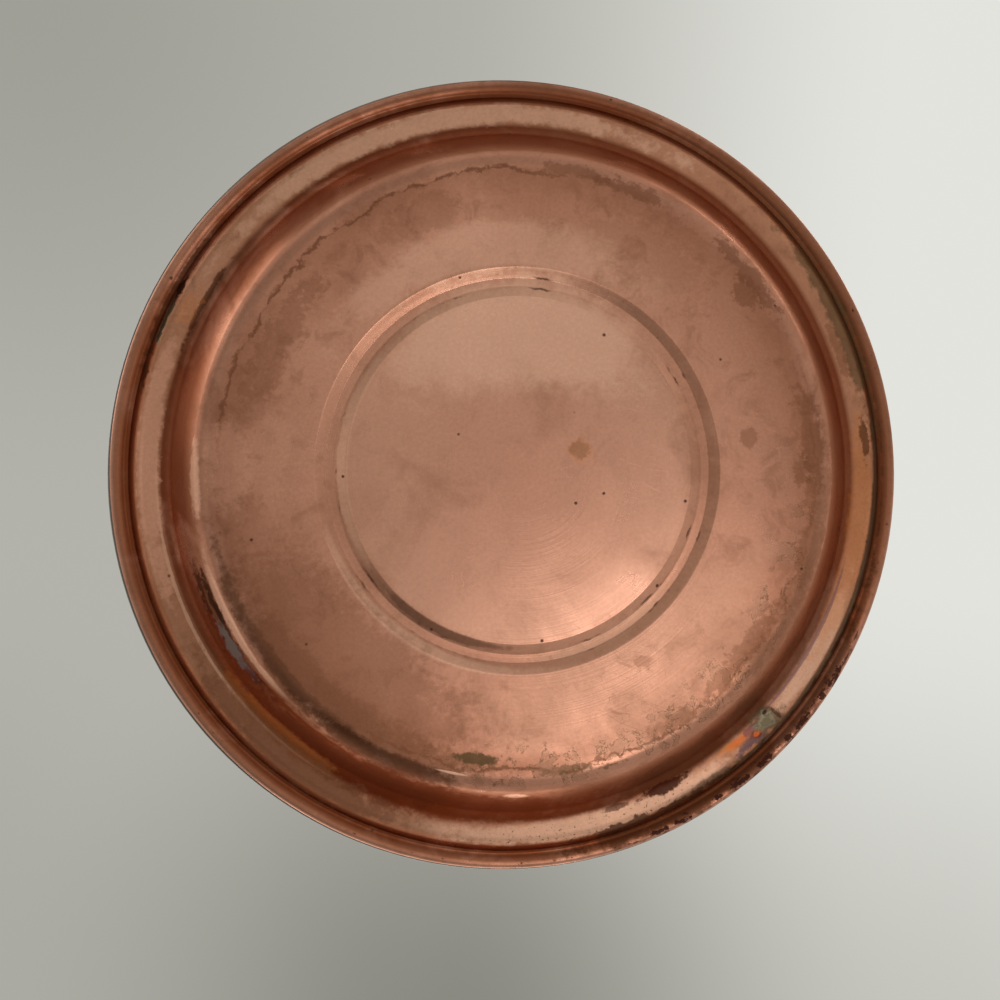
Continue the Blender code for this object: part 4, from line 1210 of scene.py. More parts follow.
@dataclass(frozen=True)
class SpunSteel(Finish):
    """Polished steel with the fine turning lines of a drawn and spun piece."""

    colour: Triple = (0.66, 0.65, 0.63)
    roughness: float = 0.13
    centre: Triple = (0.0, 0.0, 0.0)
    lean: float = 0.0
    # the height below which the steel turns darker, none if 0
    darker_below: float = 0.0

    def paint(self, tree: Tree, place: Signal) -> dict[int | str, object]:
        """Turn fine lines about the piece's axis, with smears, water spots and scratches.

        Args:
            tree: The material's nodes.
            place: The surface's place, in millimetres.

        Returns:
            What each named input of the Principled shader gets.
        """
        own = tree.mapped(place, turn=(0, math.radians(self.lean), 0), start=self.centre)
        turned = tree.group(POLAR, own)[-1]
        lines = tree.noise(tree.mapped(turned, (0.8, 0.8, 0.5)), 1.0, 3, 0.7)
        smears = tree.noise(place, 0.045, 4, 0.6, 1.5)
        away, kept = tree.cells(place, 0.09, 0.8)
        ring = abs(away - 0.16).span(0.0, 0.03, 1, 0) * kept
        marks, = tree.group(SCRATCHES, place, 0.5)
        dull = tuple(channel * shade for channel, shade in zip(self.colour, (0.84, 0.82, 0.78)))
        colour = tree.blend(smears.span(0.45, 0.75, 0, 0.5), self.colour, dull)
        if self.darker_below > 0:
            # the steel turns darker below the given height, which on the dome is the seam flange
            height = tree.noise(place, 0.3, 4) * 0.5 + tree.parts(place)[2]
            darkening = height.span(self.darker_below + 0.5, self.darker_below, 0, 0.85)
            colour = tree.blend(darkening, colour, (0.12, 0.095, 0.08))
            smears = smears + darkening
        roughness = smears.span(0.35, 0.8, self.roughness, self.roughness + 0.12)
        return {
            "Base Color": colour,
            "Roughness": ring * 0.10 + roughness + marks * 0.10,
            "Metallic": 1.0,
            "Normal": tree.bump(lines - marks * 0.3, 0.000012),
        }


@dataclass(frozen=True)
class WornMetal(Finish):
    """A pressed, turned or drawn metal with a directional grain and dull patches."""

    colour: Triple
    tarnish: Triple
    grain: Triple
    roughness: float = 0.26
    relief: float = 0.000006

    def paint(self, tree: Tree, place: Signal) -> dict[int | str, object]:
        """Run the grain one way, and dull the metal in patches.

        Args:
            tree: The material's nodes.
            place: The surface's place, in millimetres.

        Returns:
            What each named input of the Principled shader gets.
        """
        lines = tree.noise(tree.mapped(place, self.grain), 2.4, 4, 0.7)
        marks, = tree.group(SCRATCHES, place, 0.9)
        dull = tree.noise(place, 0.22, 5, 0.62, 0.5).span(0.48, 0.74, 0.0, 0.55)
        dull = dull + lines.span(0.55, 0.8) * 0.25
        roughness = lines.span(0.3, 0.7, self.roughness - 0.04, self.roughness + 0.08)
        return {
            "Base Color": tree.blend(dull, self.colour, self.tarnish),
            "Roughness": dull * 0.14 + roughness + marks * 0.1,
            "Metallic": 1.0,
            "Normal": tree.bump(lines - marks * 0.4, self.relief, 0.8),
        }


@dataclass(frozen=True)
class Moulding(Finish):
    """Black phenolic, satin from its mould and handled smooth."""

    colour: Triple = (0.016, 0.0155, 0.016)
    faded: Triple = (0.040, 0.036, 0.033)

    def paint(self, tree: Tree, place: Signal) -> dict[int | str, object]:
        """Give the moulding its skin, parting line, faded patches and hairline scratches.

        Args:
            tree: The material's nodes.
            place: The surface's place, in millimetres.

        Returns:
            What each named input of the Principled shader gets.
        """
        patches = tree.noise(place, 0.05, 4, 0.6, 0.8)
        marks, = tree.group(SCRATCHES, place, 0.6)
        seam = abs(tree.parts(place)[1]).span(0.10, 0.34, 1, 0)
        colour = tree.blend(patches.span(0.45, 0.75, 0, 0.7) + marks * 0.5, self.colour, self.faded)
        dust = tree.noise(place, 2.2, 2, 0.5).span(0.70, 0.80, 0, 0.25)
        return {
            "Base Color": tree.blend(dust, colour, (0.16, 0.15, 0.14)),
            "Roughness": marks * 0.12 + patches.span(0.3, 0.75, 0.27, 0.42),
            "Normal": tree.bump(tree.noise(place, 1.5, 4, 0.65) + seam * 1.6 - marks * 0.6, 0.00006, 0.9),
        }


COPPER = TarnishedCopper("tarnished_copper", Slot.COPPER)
DOME_STEEL = SpunSteel("dome_steel", Slot.STEEL, roughness=0.10, darker_below=22.7)
PAN_STEEL = SpunSteel("pan_steel", Slot.STEEL, (0.60, 0.59, 0.57), 0.24)
SPOUT_STEEL = SpunSteel(
    "spout_steel", Slot.STEEL, roughness=0.15, centre=(86.3352, 0.0, 105.7841), lean=50.0
)
PRESSED_STEEL = WornMetal(
    "pressed_steel", Slot.STEEL, (0.62, 0.61, 0.59), (0.42, 0.40, 0.37), (9, 1, 1), 0.20, 0.0000022
)
SATIN_STEEL = WornMetal(
    "satin_steel", Slot.PLAIN_STEEL, (0.55, 0.55, 0.54), (0.36, 0.34, 0.32), (1, 4, 1), 0.30
)
WIRE_STEEL = WornMetal("drawn_wire", Slot.SPRING_STEEL, (0.42, 0.42, 0.43), (0.26, 0.25, 0.24), (8, 1, 1))
TURNED_BRASS = WornMetal("turned_brass", Slot.BRASS, (0.74, 0.54, 0.24), (0.42, 0.28, 0.12), (4, 1, 4))
PHENOLIC = Moulding("black_phenolic", Slot.PHENOLIC)


# The kettle


@dataclass
class Base:
    """The pressed copper skin and the steel pan inside it, with corners as (r, z, fillet)."""

    lip_radius: float = 101.6
    groove_radius: float = 46.2
    groove_width: float = 7.2
    groove_floor: float = 2.0
    groove_depth: float = 1.0
    groove_fillets: Point = (1.1, 0.7)      # at its edges and at its floor
    corner_radius: float = 77.5
    corner_fillet: float = 5.5
    wall_top: Triple = (86.8, 14.6, 5.0)
    shoulder: Triple = (94.4, 15.6, 4.0)
    valley: Point = (97.4, 19.6)
    valley_fillet: float = 2.0
    lip_foot: Triple = (99.3, 18.6, 3.6)
    lip_fillet: float = 1.3
    lip_top: float = 22.0
    copper: float = 0.6
    pan: float = 0.8
    pan_top: float = 27.3

    def path(self, with_lip: bool) -> list[Vector]:
        """Follow the outside from its centre outwards.

        Args:
            with_lip: Whether it ends in the rolled lip, or stands up as the pan does.

        Returns:
            The (r, z) points.
        """
        lip, deep = self.lip_radius, self.groove_depth
        wide, narrow, (edge, foot) = self.groove_width / 2, self.groove_floor / 2, self.groove_fillets
        groove = (-wide, 0, edge), (-narrow, deep, foot), (narrow, deep, foot), (wide, 0, edge)
        corners = [(0, 0, 0), *((self.groove_radius + r, z, fillet) for r, z, fillet in groove)]
        corners += [(self.corner_radius, 0, self.corner_fillet), self.wall_top, self.shoulder]
        if with_lip:
            corners += [(*self.valley, self.valley_fillet), self.lip_foot]
            corners += [(lip, self.lip_foot[1], self.lip_fillet), (lip, self.lip_top, 0)]
        else:
            corners += [(*self.valley, 0), (self.valley[0], self.pan_top, 0)]
        return rounded(corners, math.radians(6))

    def build(self) -> None:
        """Make the skin and the pan."""
        inset = self.copper + GAP
        for name, finish, node, with_lip, layers in (
            ("copper_skin", COPPER, "copper_cladding", True, (0, self.copper)),
            ("inner_pan", PAN_STEEL, "bottom_pan", False, (inset, inset + self.pan)),
        ):
            outside, inside = (offset(self.path(with_lip), layer) for layer in layers)
            outside[0].x = inside[0].x = 0
            Form.spun(inside + outside[::-1], FINE).finished(name, finish, node)


@dataclass
class Dome:
    """The drawn steel dome with its seam flange."""

    radius: float = 97.6
    base_z: float = 25.8
    rise: float = 89.0
    power: float = 2.2
    wall: float = 0.8
    seam_radius: float = 102.6
    seam_z: float = 22.3
    seam_thickness: float = 0.8
    seam_rounding: float = 0.475
    foot_fillet: float = 0.5
    rings: int = 44

    def path(self, out: float = 0) -> list[Vector]:
        """Follow the outside from the top down to the straight foot.

        Args:
            out: How far outside it the path runs.

        Returns:
            The (r, z) points.
        """
        points = []
        for step in range(self.rings + 1):
            angle = TURN / 4 * (1 - step / self.rings)
            rise = self.rise * math.sin(angle) ** (2 / self.power)
            points.append(Vector((self.radius * math.cos(angle), self.base_z + rise)))
        points[0].x = 0
        moved = offset(points, out)
        moved[0].x = 0
        return moved

    def fill(self, out: float) -> Form:
        """Fill the dome, as a cutter for what stands on it."""
        floor = self.seam_z + self.seam_thickness
        return Form.spun(self.path(out) + [Vector((self.radius + out, floor)), Vector((0, floor))], FINE)

    def build(self, spout: "Spout") -> None:
        """Make the dome with the opening under the spout.

        Args:
            spout: The spout.
        """
        top, bead = self.seam_z + self.seam_thickness, self.seam_thickness * self.seam_rounding
        foot = rounded([
            (self.radius, self.base_z, 0), (self.radius, top, self.foot_fillet),
            (self.seam_radius, top, bead), (self.seam_radius, self.seam_z, bead),
            (self.radius - self.wall, self.seam_z, 0),
        ])
        form = Form.spun(self.path() + foot[1:] + self.path(-self.wall)[::-1], FINE)
        form.less(spout.bore()).finished("steel_dome", DOME_STEEL, "body_dome")


@dataclass
class Spout:
    """The flared spout with its rolled rim, and the frame at its mouth.

    In that frame +Z leaves the mouth, and +X points away from the handle.
    """

    mouth: Point = (86.3352, 105.7841)
    tilt: float = 40
    depth: float = 41.0
    hidden: float = 18.0
    radius: float = 20.4
    flare: float = 3.6
    wall: float = 0.9
    rim: float = 1.5
    rim_height: float = 1.8
    rim_fillets: Triple = (0.55, 0.85, 0.4)     # inside, outside and under the rim
    rim_step: float = 0.1
    plain: float = 3.2
    throat: float = 4.0
    sunk: float = 0.1

    @property
    def place(self) -> Matrix:
        """The mouth's frame."""
        turn = Matrix.Rotation(TURN / 4 - math.radians(self.tilt), 4, "Y")
        return Matrix.Translation((self.mouth[0], 0, self.mouth[1])) @ turn

    def at(self, ahead: float, above: float) -> Vector:
        """Give a point of the XZ plane, measured along and square to the axis."""
        axis = turned_by(Vector((1, 0)), math.radians(self.tilt))
        return Vector(self.mouth) + axis * ahead + left_of(axis) * above

    def outer(self, depth: float) -> float:
        """Give the outer radius at a depth below the mouth."""
        return self.radius + self.flare * (depth / self.depth) ** 1.5

    def side(self, low: float, high: float, out: float, count: int = 24) -> list[Vector]:
        """Follow the side down.

        Args:
            low: The depth it starts at.
            high: The depth it ends at.
            out: How far outside the side the path runs.
            count: Steps along it.

        Returns:
            The (r, z) points.
        """
        depths = [low + (high - low) * k / count for k in range(count + 1)]
        return [Vector((self.outer(depth) + out, -depth)) for depth in depths]

    def solid(self, low: float, high: float, out: float) -> Form:
        """Fill the spout between two depths."""
        profile = [Vector((0, -low)), *self.side(low, high, out), Vector((0, -high))]
        return Form.spun(profile, MEDIUM).placed(self.place)

    def bore(self) -> Form:
        """Give the cutter for the dome's opening."""
        return self.solid(self.rim_height, self.depth + self.hidden, -self.wall)

    def build(self, dome: Dome) -> None:
        """Make the spout, seated on the dome.

        Args:
            dome: The dome.
        """
        rim, bore, neck = self.radius + self.rim, self.radius - self.wall, self.radius + self.rim_step
        low, (inner, outer, under) = -self.rim_height, self.rim_fillets
        roll = rounded([
            (bore, -self.throat, 0), (bore, 0, inner), (rim, 0, outer), (rim, low, outer),
            (neck, low, under), (self.outer(self.plain), -self.plain, 0),
        ], math.radians(12))
        inside = self.side(self.throat, self.depth, -self.wall)[:0:-1]
        form = Form.spun(roll + self.side(self.plain, self.depth, 0)[1:] + inside, MEDIUM, ring=True)
        form.placed(self.place).less(dome.fill(-self.sunk)).finished("spout", SPOUT_STEEL, "spout_tube")


def level_at(radius: float, start: Vector, end: Vector) -> float:
    """Give the height of a straight (r, z) line at a radius."""
    return start.lerp(end, (radius - start.x) / (end.x - start.x)).y


@dataclass
class Cap:
    """The whistle cap: its shell, the two plates inside it, its strap and its rivets."""

    spout: Spout
    hinge: "CapHinge"
    radius: float = 22.3
    top: float = 7.3
    inner_radius: float = 20.95
    inner_top: float = 6.208
    inner_crown: Triple = (11.289, 5.329, 4.0)
    inner_brim: float = 0.7
    hole: float = 4.0
    whistle_hole: float = 1.4
    plug_radius: float = 17.9
    plug_depth: float = 3.0
    disc_radius: float = 10.6
    plate: float = 0.8
    strap_width: float = 11.0
    strap: float = 2.0
    strap_end: float = 6.5
    strap_knee: Point = (3.5, -0.5)     # from its bend over the brim to its end by the hinge
    strap_bend: float = 2.5
    strap_corner: float = 2.6
    horn: Point = (3.0, 3.2)            # radii round the hinge and round the wire
    horn_half: float = 1.5
    rivet_hole: float = 1.5
    rivet_spacing: float = 5.8
    rivet_reach: float = 14.2

    def build(self) -> None:
        """Make every piece of the cap."""
        hole, beside, top, fine = self.hole, self.hole + 0.6, self.top, math.radians(5)
        edge, skirt = self.radius, self.inner_radius
        outer = [(hole, top, 0), (*CROWN, 5.0), (*BRIM, 1.2), (edge, BRIM.y, 0.5), (edge, GAP, 0)]
        inner = [(hole, self.inner_top, 0), self.inner_crown, (skirt, self.inner_brim, 0.3), (skirt, GAP, 0)]
        outer, inner = rounded(outer, fine), rounded(inner, fine)
        rim = rounded([(beside, 6.14, 0), (hole, 6.2, 0.3), (hole, top, 0.4), (beside, 7.25, 0)], WIDE_STEP)
        shell = Form.spun(rim[1:-1] + outer[1:] + inner[:0:-1], MEDIUM, ring=True).placed(self.spout.place)
        shell.less(*self.rivet_holes()).finished("cap_crown", SPOUT_STEEL, "cap_shell", Body.CAP)
        self.whistle(inner)
        self.arm()
        self.rivets()

    def whistle(self, inner: Sequence[Vector]) -> None:
        """Make the two perforated plates, against the inside of the shell.

        Args:
            inner: The shell's inside, as (r, z) points.
        """
        plug, disc = (
            next(level_at(radius, *pair) for pair in zip(inner, inner[1:]) if radius <= pair[1].x) - GAP
            for radius in (self.plug_radius, self.disc_radius)
        )
        low, wall, hole = -self.plug_depth, self.plate, self.whistle_hole
        cup = Form.spun(ring_of([
            (self.plug_radius, plug, 0.25), (self.plug_radius, low, 0.8), (hole, low, 0.25),
            (hole, low + wall, 0.25), (self.plug_radius - wall, low + wall, 0.4),
            (self.plug_radius - wall, plug, 0.25),
        ], TURN / 16), MEDIUM, ring=True)
        flat = washer((hole, self.disc_radius), (disc - wall, disc), (0.2,) * 4, MEDIUM)
        for form, name, node in (
            (cup, "whistle_cup", "whistle_inner_plate"), (flat, "whistle_disc", "whistle_outer_plate"),
        ):
            form.placed(self.spout.place).finished(name, SATIN_STEEL, node, Body.CAP)

    def strap_line(self) -> list[Vector]:
        """Follow the middle of the strap, from the bend by the hinge to its end on the crown.

        Returns:
            The points in the XZ plane.
        """
        lift = GAP + self.strap / 2
        high, low = (corner + left_of(BRIM - CROWN) * lift for corner in (CROWN, BRIM))
        level = level_at(self.strap_end, Vector((self.hole, self.top)), CROWN)
        knee, end = low + Vector(self.strap_knee), Vector((self.strap_end, level + lift))
        return [self.spout.at(point.y, point.x) for point in (knee, low, high, end)]

    def arm(self) -> None:
        """Make the strap with its hinge eye and its horn."""
        line, half, hinge = self.strap_line(), self.strap_width / 2, self.hinge
        tip = line[-1]
        fillets = 0, self.strap_bend, self.strap_bend, 0
        bent = rounded([(*point, fillet) for point, fillet in zip(line, fillets)])
        strap = Form.plate(strip(bent, self.strap), -half, half)
        strap.softened(self.strap_corner, 60, 4, lambda edge: all(
            (corner.co.xz - tip).length < 1.2 and abs(corner.co.y) > half - 0.1 for corner in edge.verts
        ) and abs(edge.verts[0].co.y - edge.verts[1].co.y) < 0.1)
        neck = hull((HINGE, hinge.eye), (line[0], self.strap / 2))
        horn = hull(*zip((HINGE, WIRE_FRONT), self.horn))
        strap.plus(
            Form.plate(neck, GAP - hinge.spacing / 2, hinge.spacing / 2 - hinge.spring_space),
            Form.plate(horn, -self.horn_half, self.horn_half),
        )
        strap.less(across(PIN_HOLE, HINGE), Form.plate(hinge.slot(), -THROUGH, THROUGH), *self.rivet_holes())
        strap.softened(0.3).finished("cap_strap", PRESSED_STEEL, "cap_arm", Body.CAP)

    def rivet_places(self) -> list[Matrix]:
        """Give the frame of each rivet, with +Z out of the cap.

        Returns:
            The left rivet's frame and the right one's.
        """
        height = level_at(self.rivet_reach, CROWN, BRIM)
        lean = Matrix.Rotation(-math.atan2(CROWN.y - BRIM.y, BRIM.x - CROWN.x), 4, "Y")
        return [
            self.spout.place @ Matrix.Translation((-self.rivet_reach, y, height)) @ lean
            for y in (self.rivet_spacing / 2, -self.rivet_spacing / 2)
        ]

    def rivet_holes(self) -> list[Form]:
        """Give the cutters for the rivets' holes."""
        return [rod(self.rivet_hole, -6, 6).placed(place) for place in self.rivet_places()]

    def rivets(self) -> None:
        """Make the two rivets with domed heads."""
        head, tail = 2 * GAP + self.strap, -1.75
        profile = rounded([
            (0, head + 0.9, 0), (1.3, head + 0.85, 1.6), (2.1, head + 0.15, 0.3), (2.1, head, 0.1),
            (1.2, head, 0), (1.2, tail, 0), (1.8, tail, 0.1), (1.8, tail - 0.9, 0.4), (0, tail - 0.9, 0),
        ], TURN / 20)
        for side, place in zip(("left", "right"), self.rivet_places()):
            rivet = Form.spun(profile).placed(place)
            rivet.finished(f"rivet_{side}", SATIN_STEEL, f"cap_rivet_{side}", Body.CAP)


@dataclass
class CapHinge:
    """The saddle with two ears on the spout, the pin and the torsion spring."""

    spout: Spout
    spacing: float = 12.0
    ear: float = 1.6
    spring_space: float = 3.9
    eye: float = 4.0
    pin: float = 1.5
    saddle: Point = (-15, -4)       # its ends along the spout
    saddle_foot: float = 14.4
    saddle_top: float = 24.1
    ear_feet: Point = (-13, -6)     # the ears' ends along the spout
    ear_foot: float = 2.0
    wire: float = 0.35
    coil: float = 2.9
    turns: int = 2
    pitch: float = 1.15
    legs_at: Point = (-12, 19.8)    # the rear leg's end along the spout, the front leg's off its axis
    arm: float = 20.0

    def slot(self) -> list[Vector]:
        """Outline the slot in the cap's horn, in which the wire's end slides.

        Returns:
            The outline.
        """
        up = (WIRE_FRONT - HINGE).normalized()
        nearest = WIRE_FRONT.y - HINGE.y - self.arm * (1 - math.cos(SQUEEZE / 2))
        middle = HINGE + up * (self.arm / 2 + nearest) / 2
        return hull(*[(middle + up * side * 0.3, 1.35) for side in (1, -1)])

    def build(self) -> None:
        """Make the bracket, the pin and the spring."""
        at, top, inner, outer = self.spout.at, self.saddle_top, self.spacing / 2, self.spacing / 2 + self.ear
        (back, front), foot, round_foot = self.saddle, self.saddle_foot, self.ear_foot
        block = ring_of([
            (*at(front, foot), 0), (*at(front, top), 0.6), (*at(back, top), 0.6), (*at(back, foot), 0),
        ])
        ear = hull((HINGE, self.eye), *((at(x, top - round_foot), round_foot) for x in self.ear_feet))
        bracket = Form.plate(block, -outer, outer)
        bracket.plus(Form.plate(ear, inner, outer - 0.05), Form.plate(ear, 0.05 - outer, -inner))
        bracket.less(self.spout.solid(1.8, 41, 0.05), across(PIN_HOLE, HINGE))
        bracket.softened(0.28).finished("hinge_saddle", PRESSED_STEEL, "spout_hinge_bracket")
        end = outer + GAP
        head = [(0, 0.8, 0), (1.6, 0.75, 1.5), (2.8, 0.3, 0.3), (2.8, 0, 0.1), (self.pin, 0, 0)]
        profile = [(r, end + up, fillet) for r, up, fillet in head]
        profile += [(r, -height, fillet) for r, height, fillet in profile[::-1]]
        pin = Form.spun(rounded(profile, TURN / 20)).placed(across_at(HINGE))
        pin.finished("hinge_pin", SATIN_STEEL, "cap_hinge_pin")
        self.spring()

    def tangent(self, start: Vector, side: int) -> Vector:
        """Find where a straight leg meets the coil, on its left (1) or right (-1).

        Args:
            start: The leg's free end.
            side: 1 for the left, -1 for the right, seen from that end.

        Returns:
            The point where they touch.
        """
        towards = HINGE - start
        angle = math.asin(self.coil / towards.length)
        length = math.sqrt(towards.length ** 2 - self.coil ** 2)
        return start + turned_by(towards.normalized(), side * angle) * length

    def spring(self) -> None:
        """Wind the spring round the pin, with a leg on the saddle and one on the strap."""
        rest, (behind, above) = self.wire + GAP, self.legs_at
        back = self.spout.at(behind, self.saddle_top + rest)
        rise = (GAP + 2.0 + rest) / (BRIM - CROWN).normalized().x
        front = self.spout.at(level_at(above, CROWN, BRIM) + rise, above)
        first, last = self.tangent(back, 1), self.tangent(front, -1)
        start, end = (math.atan2(*(point - HINGE).yx) for point in (first, last))
        sweep = (start - end) % TURN + TURN * self.turns
        steps = round(32 * sweep / TURN)
        y = self.spacing / 2 - rest
        points = [in_plane(back, y), in_plane(back.lerp(first, 0.5), y)]
        for step in range(steps + 1):
            turn = sweep * step / steps
            spot = HINGE + turned_by(Vector((self.coil, 0)), start - turn)
            points.append(in_plane(spot, y - self.pitch * turn / TURN))
        low = points[-1].y
        points += [in_plane(last.lerp(front, 0.5), low), in_plane(front, low)]
        bent = Body.CAP, in_plane(HINGE, y - self.wire), in_plane(HINGE, low + self.wire)
        Form.tube(points, self.wire, 12).finished("torsion_spring", WIRE_STEEL, "cap_spring", bent=bent)


@dataclass
class Linkage:
    """The bent wire between trigger and cap, and the clips at its ends."""

    radius: float = 1.0
    side: float = 3.0
    bend: float = 1.6
    end: float = 3.4
    clip_radii: Point = (1.3, 2.6)
    clip_faces: Point = (-1.8, -2.6)

    def build(self) -> None:
        """Make the wire and both clips."""
        tip, side, bend, (rear, level) = self.radius / 2 - self.end, self.side, self.bend, WIRE_REAR
        corners = [(rear, tip, 0), (rear, side, bend), (WIRE_FRONT.x, side, bend), (WIRE_FRONT.x, tip, 0)]
        points = [Vector((*point, level)) for point in rounded(corners, math.radians(12))]
        Form.tube(points, self.radius, 20).finished("pull_wire", WIRE_STEEL, "link_wire", Body.LINK)
        for end, spot in (("rear", WIRE_REAR), ("front", WIRE_FRONT)):
            clip = washer(self.clip_radii, self.clip_faces, (0.1, 0.1, 0.25, 0.25))
            clip.placed(across_at(spot)).finished(f"{end}_clip", WIRE_STEEL, f"link_{end}_clip", Body.LINK)


@dataclass
class Trigger:
    """The finger lever and the pin that it swings on."""

    knee: Point = (8.0, 147.3597)
    span: float = 44.0
    sag: float = 2.6
    width: float = 12.0
    thickness: float = 3.8
    corner: float = 1.4
    arm: Point = (5.5, 3.6)         # radii at the pivot and at the wire
    arm_half: float = 1.5
    neck: Point = (5.2, 2.8)        # radii at the pivot and at the knee
    neck_half: float = 3.0
    wire_hole: float = 1.35
    hub: float = 3.9
    hub_half: float = 4.1
    pin: float = 1.5
    pin_half: float = 9.4

    def build(self) -> None:
        """Make the lever and its pin."""
        knee = Vector(self.knee)
        arm = hull(*zip((PIVOT, WIRE_REAR), self.arm))
        lever = Form.plate(arm, -self.arm_half, self.arm_half)
        lever.less(across(self.wire_hole, WIRE_REAR)).softened(0.45, segments=3)
        neck = Form.plate(hull(*zip((PIVOT, knee), self.neck)), -self.neck_half, self.neck_half)
        hub = across(self.hub, PIVOT, self.hub_half, 0.5)
        lever.plus(neck.softened(0.9, segments=3), self.blade(knee), hub).less(across(PIN_HOLE, PIVOT))
        lever.finished("finger_lever", PHENOLIC, "trigger_lever", Body.TRIGGER)
        across(self.pin, PIVOT, self.pin_half, 0.35).finished("lever_pin", SATIN_STEEL, "trigger_pin")

    def blade(self, knee: Vector) -> Form:
        """Loft the blade with a rounded section and a rounded tip.

        Args:
            knee: Where it starts.

        Returns:
            The blade.
        """
        tip, sag = knee - Vector((self.span, 0)), Vector((0, self.sag))
        line = smooth([knee, knee.lerp(tip, 0.3) - sag, knee.lerp(tip, 0.7) - sag, tip], 8)
        path = [in_plane(point) for point in line]
        wide, thick = self.width / 2, self.thickness / 2
        corners = ((-wide, -thick), (wide, -thick), (wide, thick), (-wide, thick))
        section = ring_of([(*corner, self.corner) for corner in corners], TURN / 24)
        rows = [row for row in along(path) if (path[-1] - row.translation).length > self.width * 0.45]
        base, count = rows[-1], 8
        for share in (k / count for k in range(1, count + 1)):
            shift = Matrix.Translation((path[-1] - base.translation) * math.sin(TURN / 4 * share))
            wide = max(math.cos(TURN / 4 * share), 0.12) ** 0.8
            rows.append(shift @ base @ Matrix.Diagonal((1 - 0.45 * share ** 3, wide, 1, 1)))
        return Form.lofted([point.yx for point in section], rows)


@dataclass
class LegMount:
    """One leg's bracket on the dome, with its screw, washer and insert."""

    name: str
    point: Point
    up: Point
    height: float = 11.0
    half: float = 11.5
    across_half: float = 9.5
    rise_ends: Point = (-5, 2.4)        # the foot's lower and upper face, out of the dome
    corner: float = 3.2
    edge: float = 1.0
    clear: float = 0.05                 # between the foot and the dome
    tongue_from: float = 1.5
    tongue_reach: float = 12
    tongue_radii: Point = (6.5, 5.0)    # at its foot and at its tip
    tongue_half: float = 1.5
    screw_hole: float = 2.3
    head_bore: float = 4.2
    head_floor: float = 7.2
    insert_bore: float = 3.5
    bore_reach: float = 22
    seat: float = 8.6

    def above(self, distance: float, across: float = 0) -> Vector:
        """Give a point out of the dome, and across it."""
        return Vector(self.point) + Vector(self.up) * distance + Vector((self.up[1], -self.up[0])) * across

    def tongue(self, clearance: float = 0) -> list[Vector]:
        """Outline the tongue that goes up into the leg."""
        ends = zip((0, self.tongue_reach), self.tongue_radii)
        return hull(*((self.above(distance), radius + clearance) for distance, radius in ends))

    @property
    def bore_place(self) -> Matrix:
        """The frame of the screw, with +Z along +Y."""
        turn = Matrix.Rotation(math.atan2(*self.up), 4, "Y") @ Matrix.Rotation(-TURN / 4, 4, "X")
        return Matrix.Translation(in_plane(self.above(self.height))) @ turn

    def bore(self) -> Form:
        """Give the stepped cutter that the screw needs in the grip.

        Returns:
            The cutter.
        """
        ends = self.bore_reach, self.head_floor, 0, -self.bore_reach
        radii = self.head_bore, self.screw_hole, self.insert_bore
        walls = [(radius, z) for radius, pair in zip(radii, zip(ends, ends[1:])) for z in pair]
        return Form.spun([(0, ends[0]), *walls, (0, ends[-1])]).placed(self.bore_place)

    def socket(self) -> Form:
        """Give the cutter for the tongue's socket in the grip."""
        half = self.tongue_half + GAP
        return Form.plate(self.tongue(GAP), -half, half)

    def build(self, dome: Dome) -> None:
        """Make the bracket and its fasteners.

        Args:
            dome: The dome that it stands on.
        """
        low, high = self.rise_ends
        corners = (low, -1), (low, 1), (high, 1), (high, -1)
        outline = [self.above(rise, side * self.half) for rise, side in corners]
        foot = Form.plate(outline, -self.across_half, self.across_half)
        foot.softened(self.corner, 60, 6, self.upright).softened(self.edge, 60, 4, self.on_top)
        tongue = Form.plate(self.tongue(), -self.tongue_half, self.tongue_half)
        foot.less(dome.fill(self.clear)).plus(tongue.less(dome.fill(self.tongue_from)))
        foot.less(across(self.screw_hole, self.above(self.height)))
        foot.finished(f"{self.name}_saddle", PRESSED_STEEL, f"{self.name}_bracket")
        self.fasteners()

    def rise(self, corner: BMVert) -> float:
        """Tell how far out of the dome a corner stands."""
        return (corner.co.xz - Vector(self.point)).dot(Vector(self.up))

    def upright(self, edge: BMEdge) -> bool:
        """Pick the four edges of the foot that stand square to the dome."""
        return abs(self.rise(edge.verts[0]) - self.rise(edge.verts[1])) > 1

    def on_top(self, edge: BMEdge) -> bool:
        """Pick the edges round the top of the foot."""
        return all(self.rise(corner) > self.rise_ends[1] - 0.1 for corner in edge.verts)

    def fasteners(self) -> None:
        """Make the screw, the washer and the insert."""
        low = self.seat
        profile = rounded([
            (0, low + 2.0, 0), (2.4, low + 1.85, 2.5), (3.6, low + 0.9, 0.6), (3.6, low, 0.15),
            (2.0, low, 0), (2.0, -6.5, 0.5), (0, -6.5, 0),
        ], TURN / 24)
        corners = (-9, -0.5), (9, -0.5), (9, 0.5), (-9, 0.5)
        slot = Form.plate([Vector(corner) for corner in corners], low + 1.1, THROUGH)
        slot.placed(Matrix.Translation(in_plane(self.above(self.height))))
        screw = Form.spun(profile).placed(self.bore_place).less(slot).softened(0.12, 60, 1)
        screw.finished(f"{self.name}_slotted_screw", SATIN_STEEL, f"{self.name}_screw")
        for name, finish, node, *shape in (
            ("flat_washer", SATIN_STEEL, "washer", (2.3, 3.9), (8.3, 7.5), (0.1, 0.1, 0.2, 0.2)),
            ("brass_bush", TURNED_BRASS, "insert", (2.3, 3.2), (-1.8, -8.8), (0.2, 0.3, 0.3, 0.2)),
        ):
            ring = washer(*shape).placed(self.bore_place)
            ring.finished(f"{self.name}_{name}", finish, f"{self.name}_{node}")


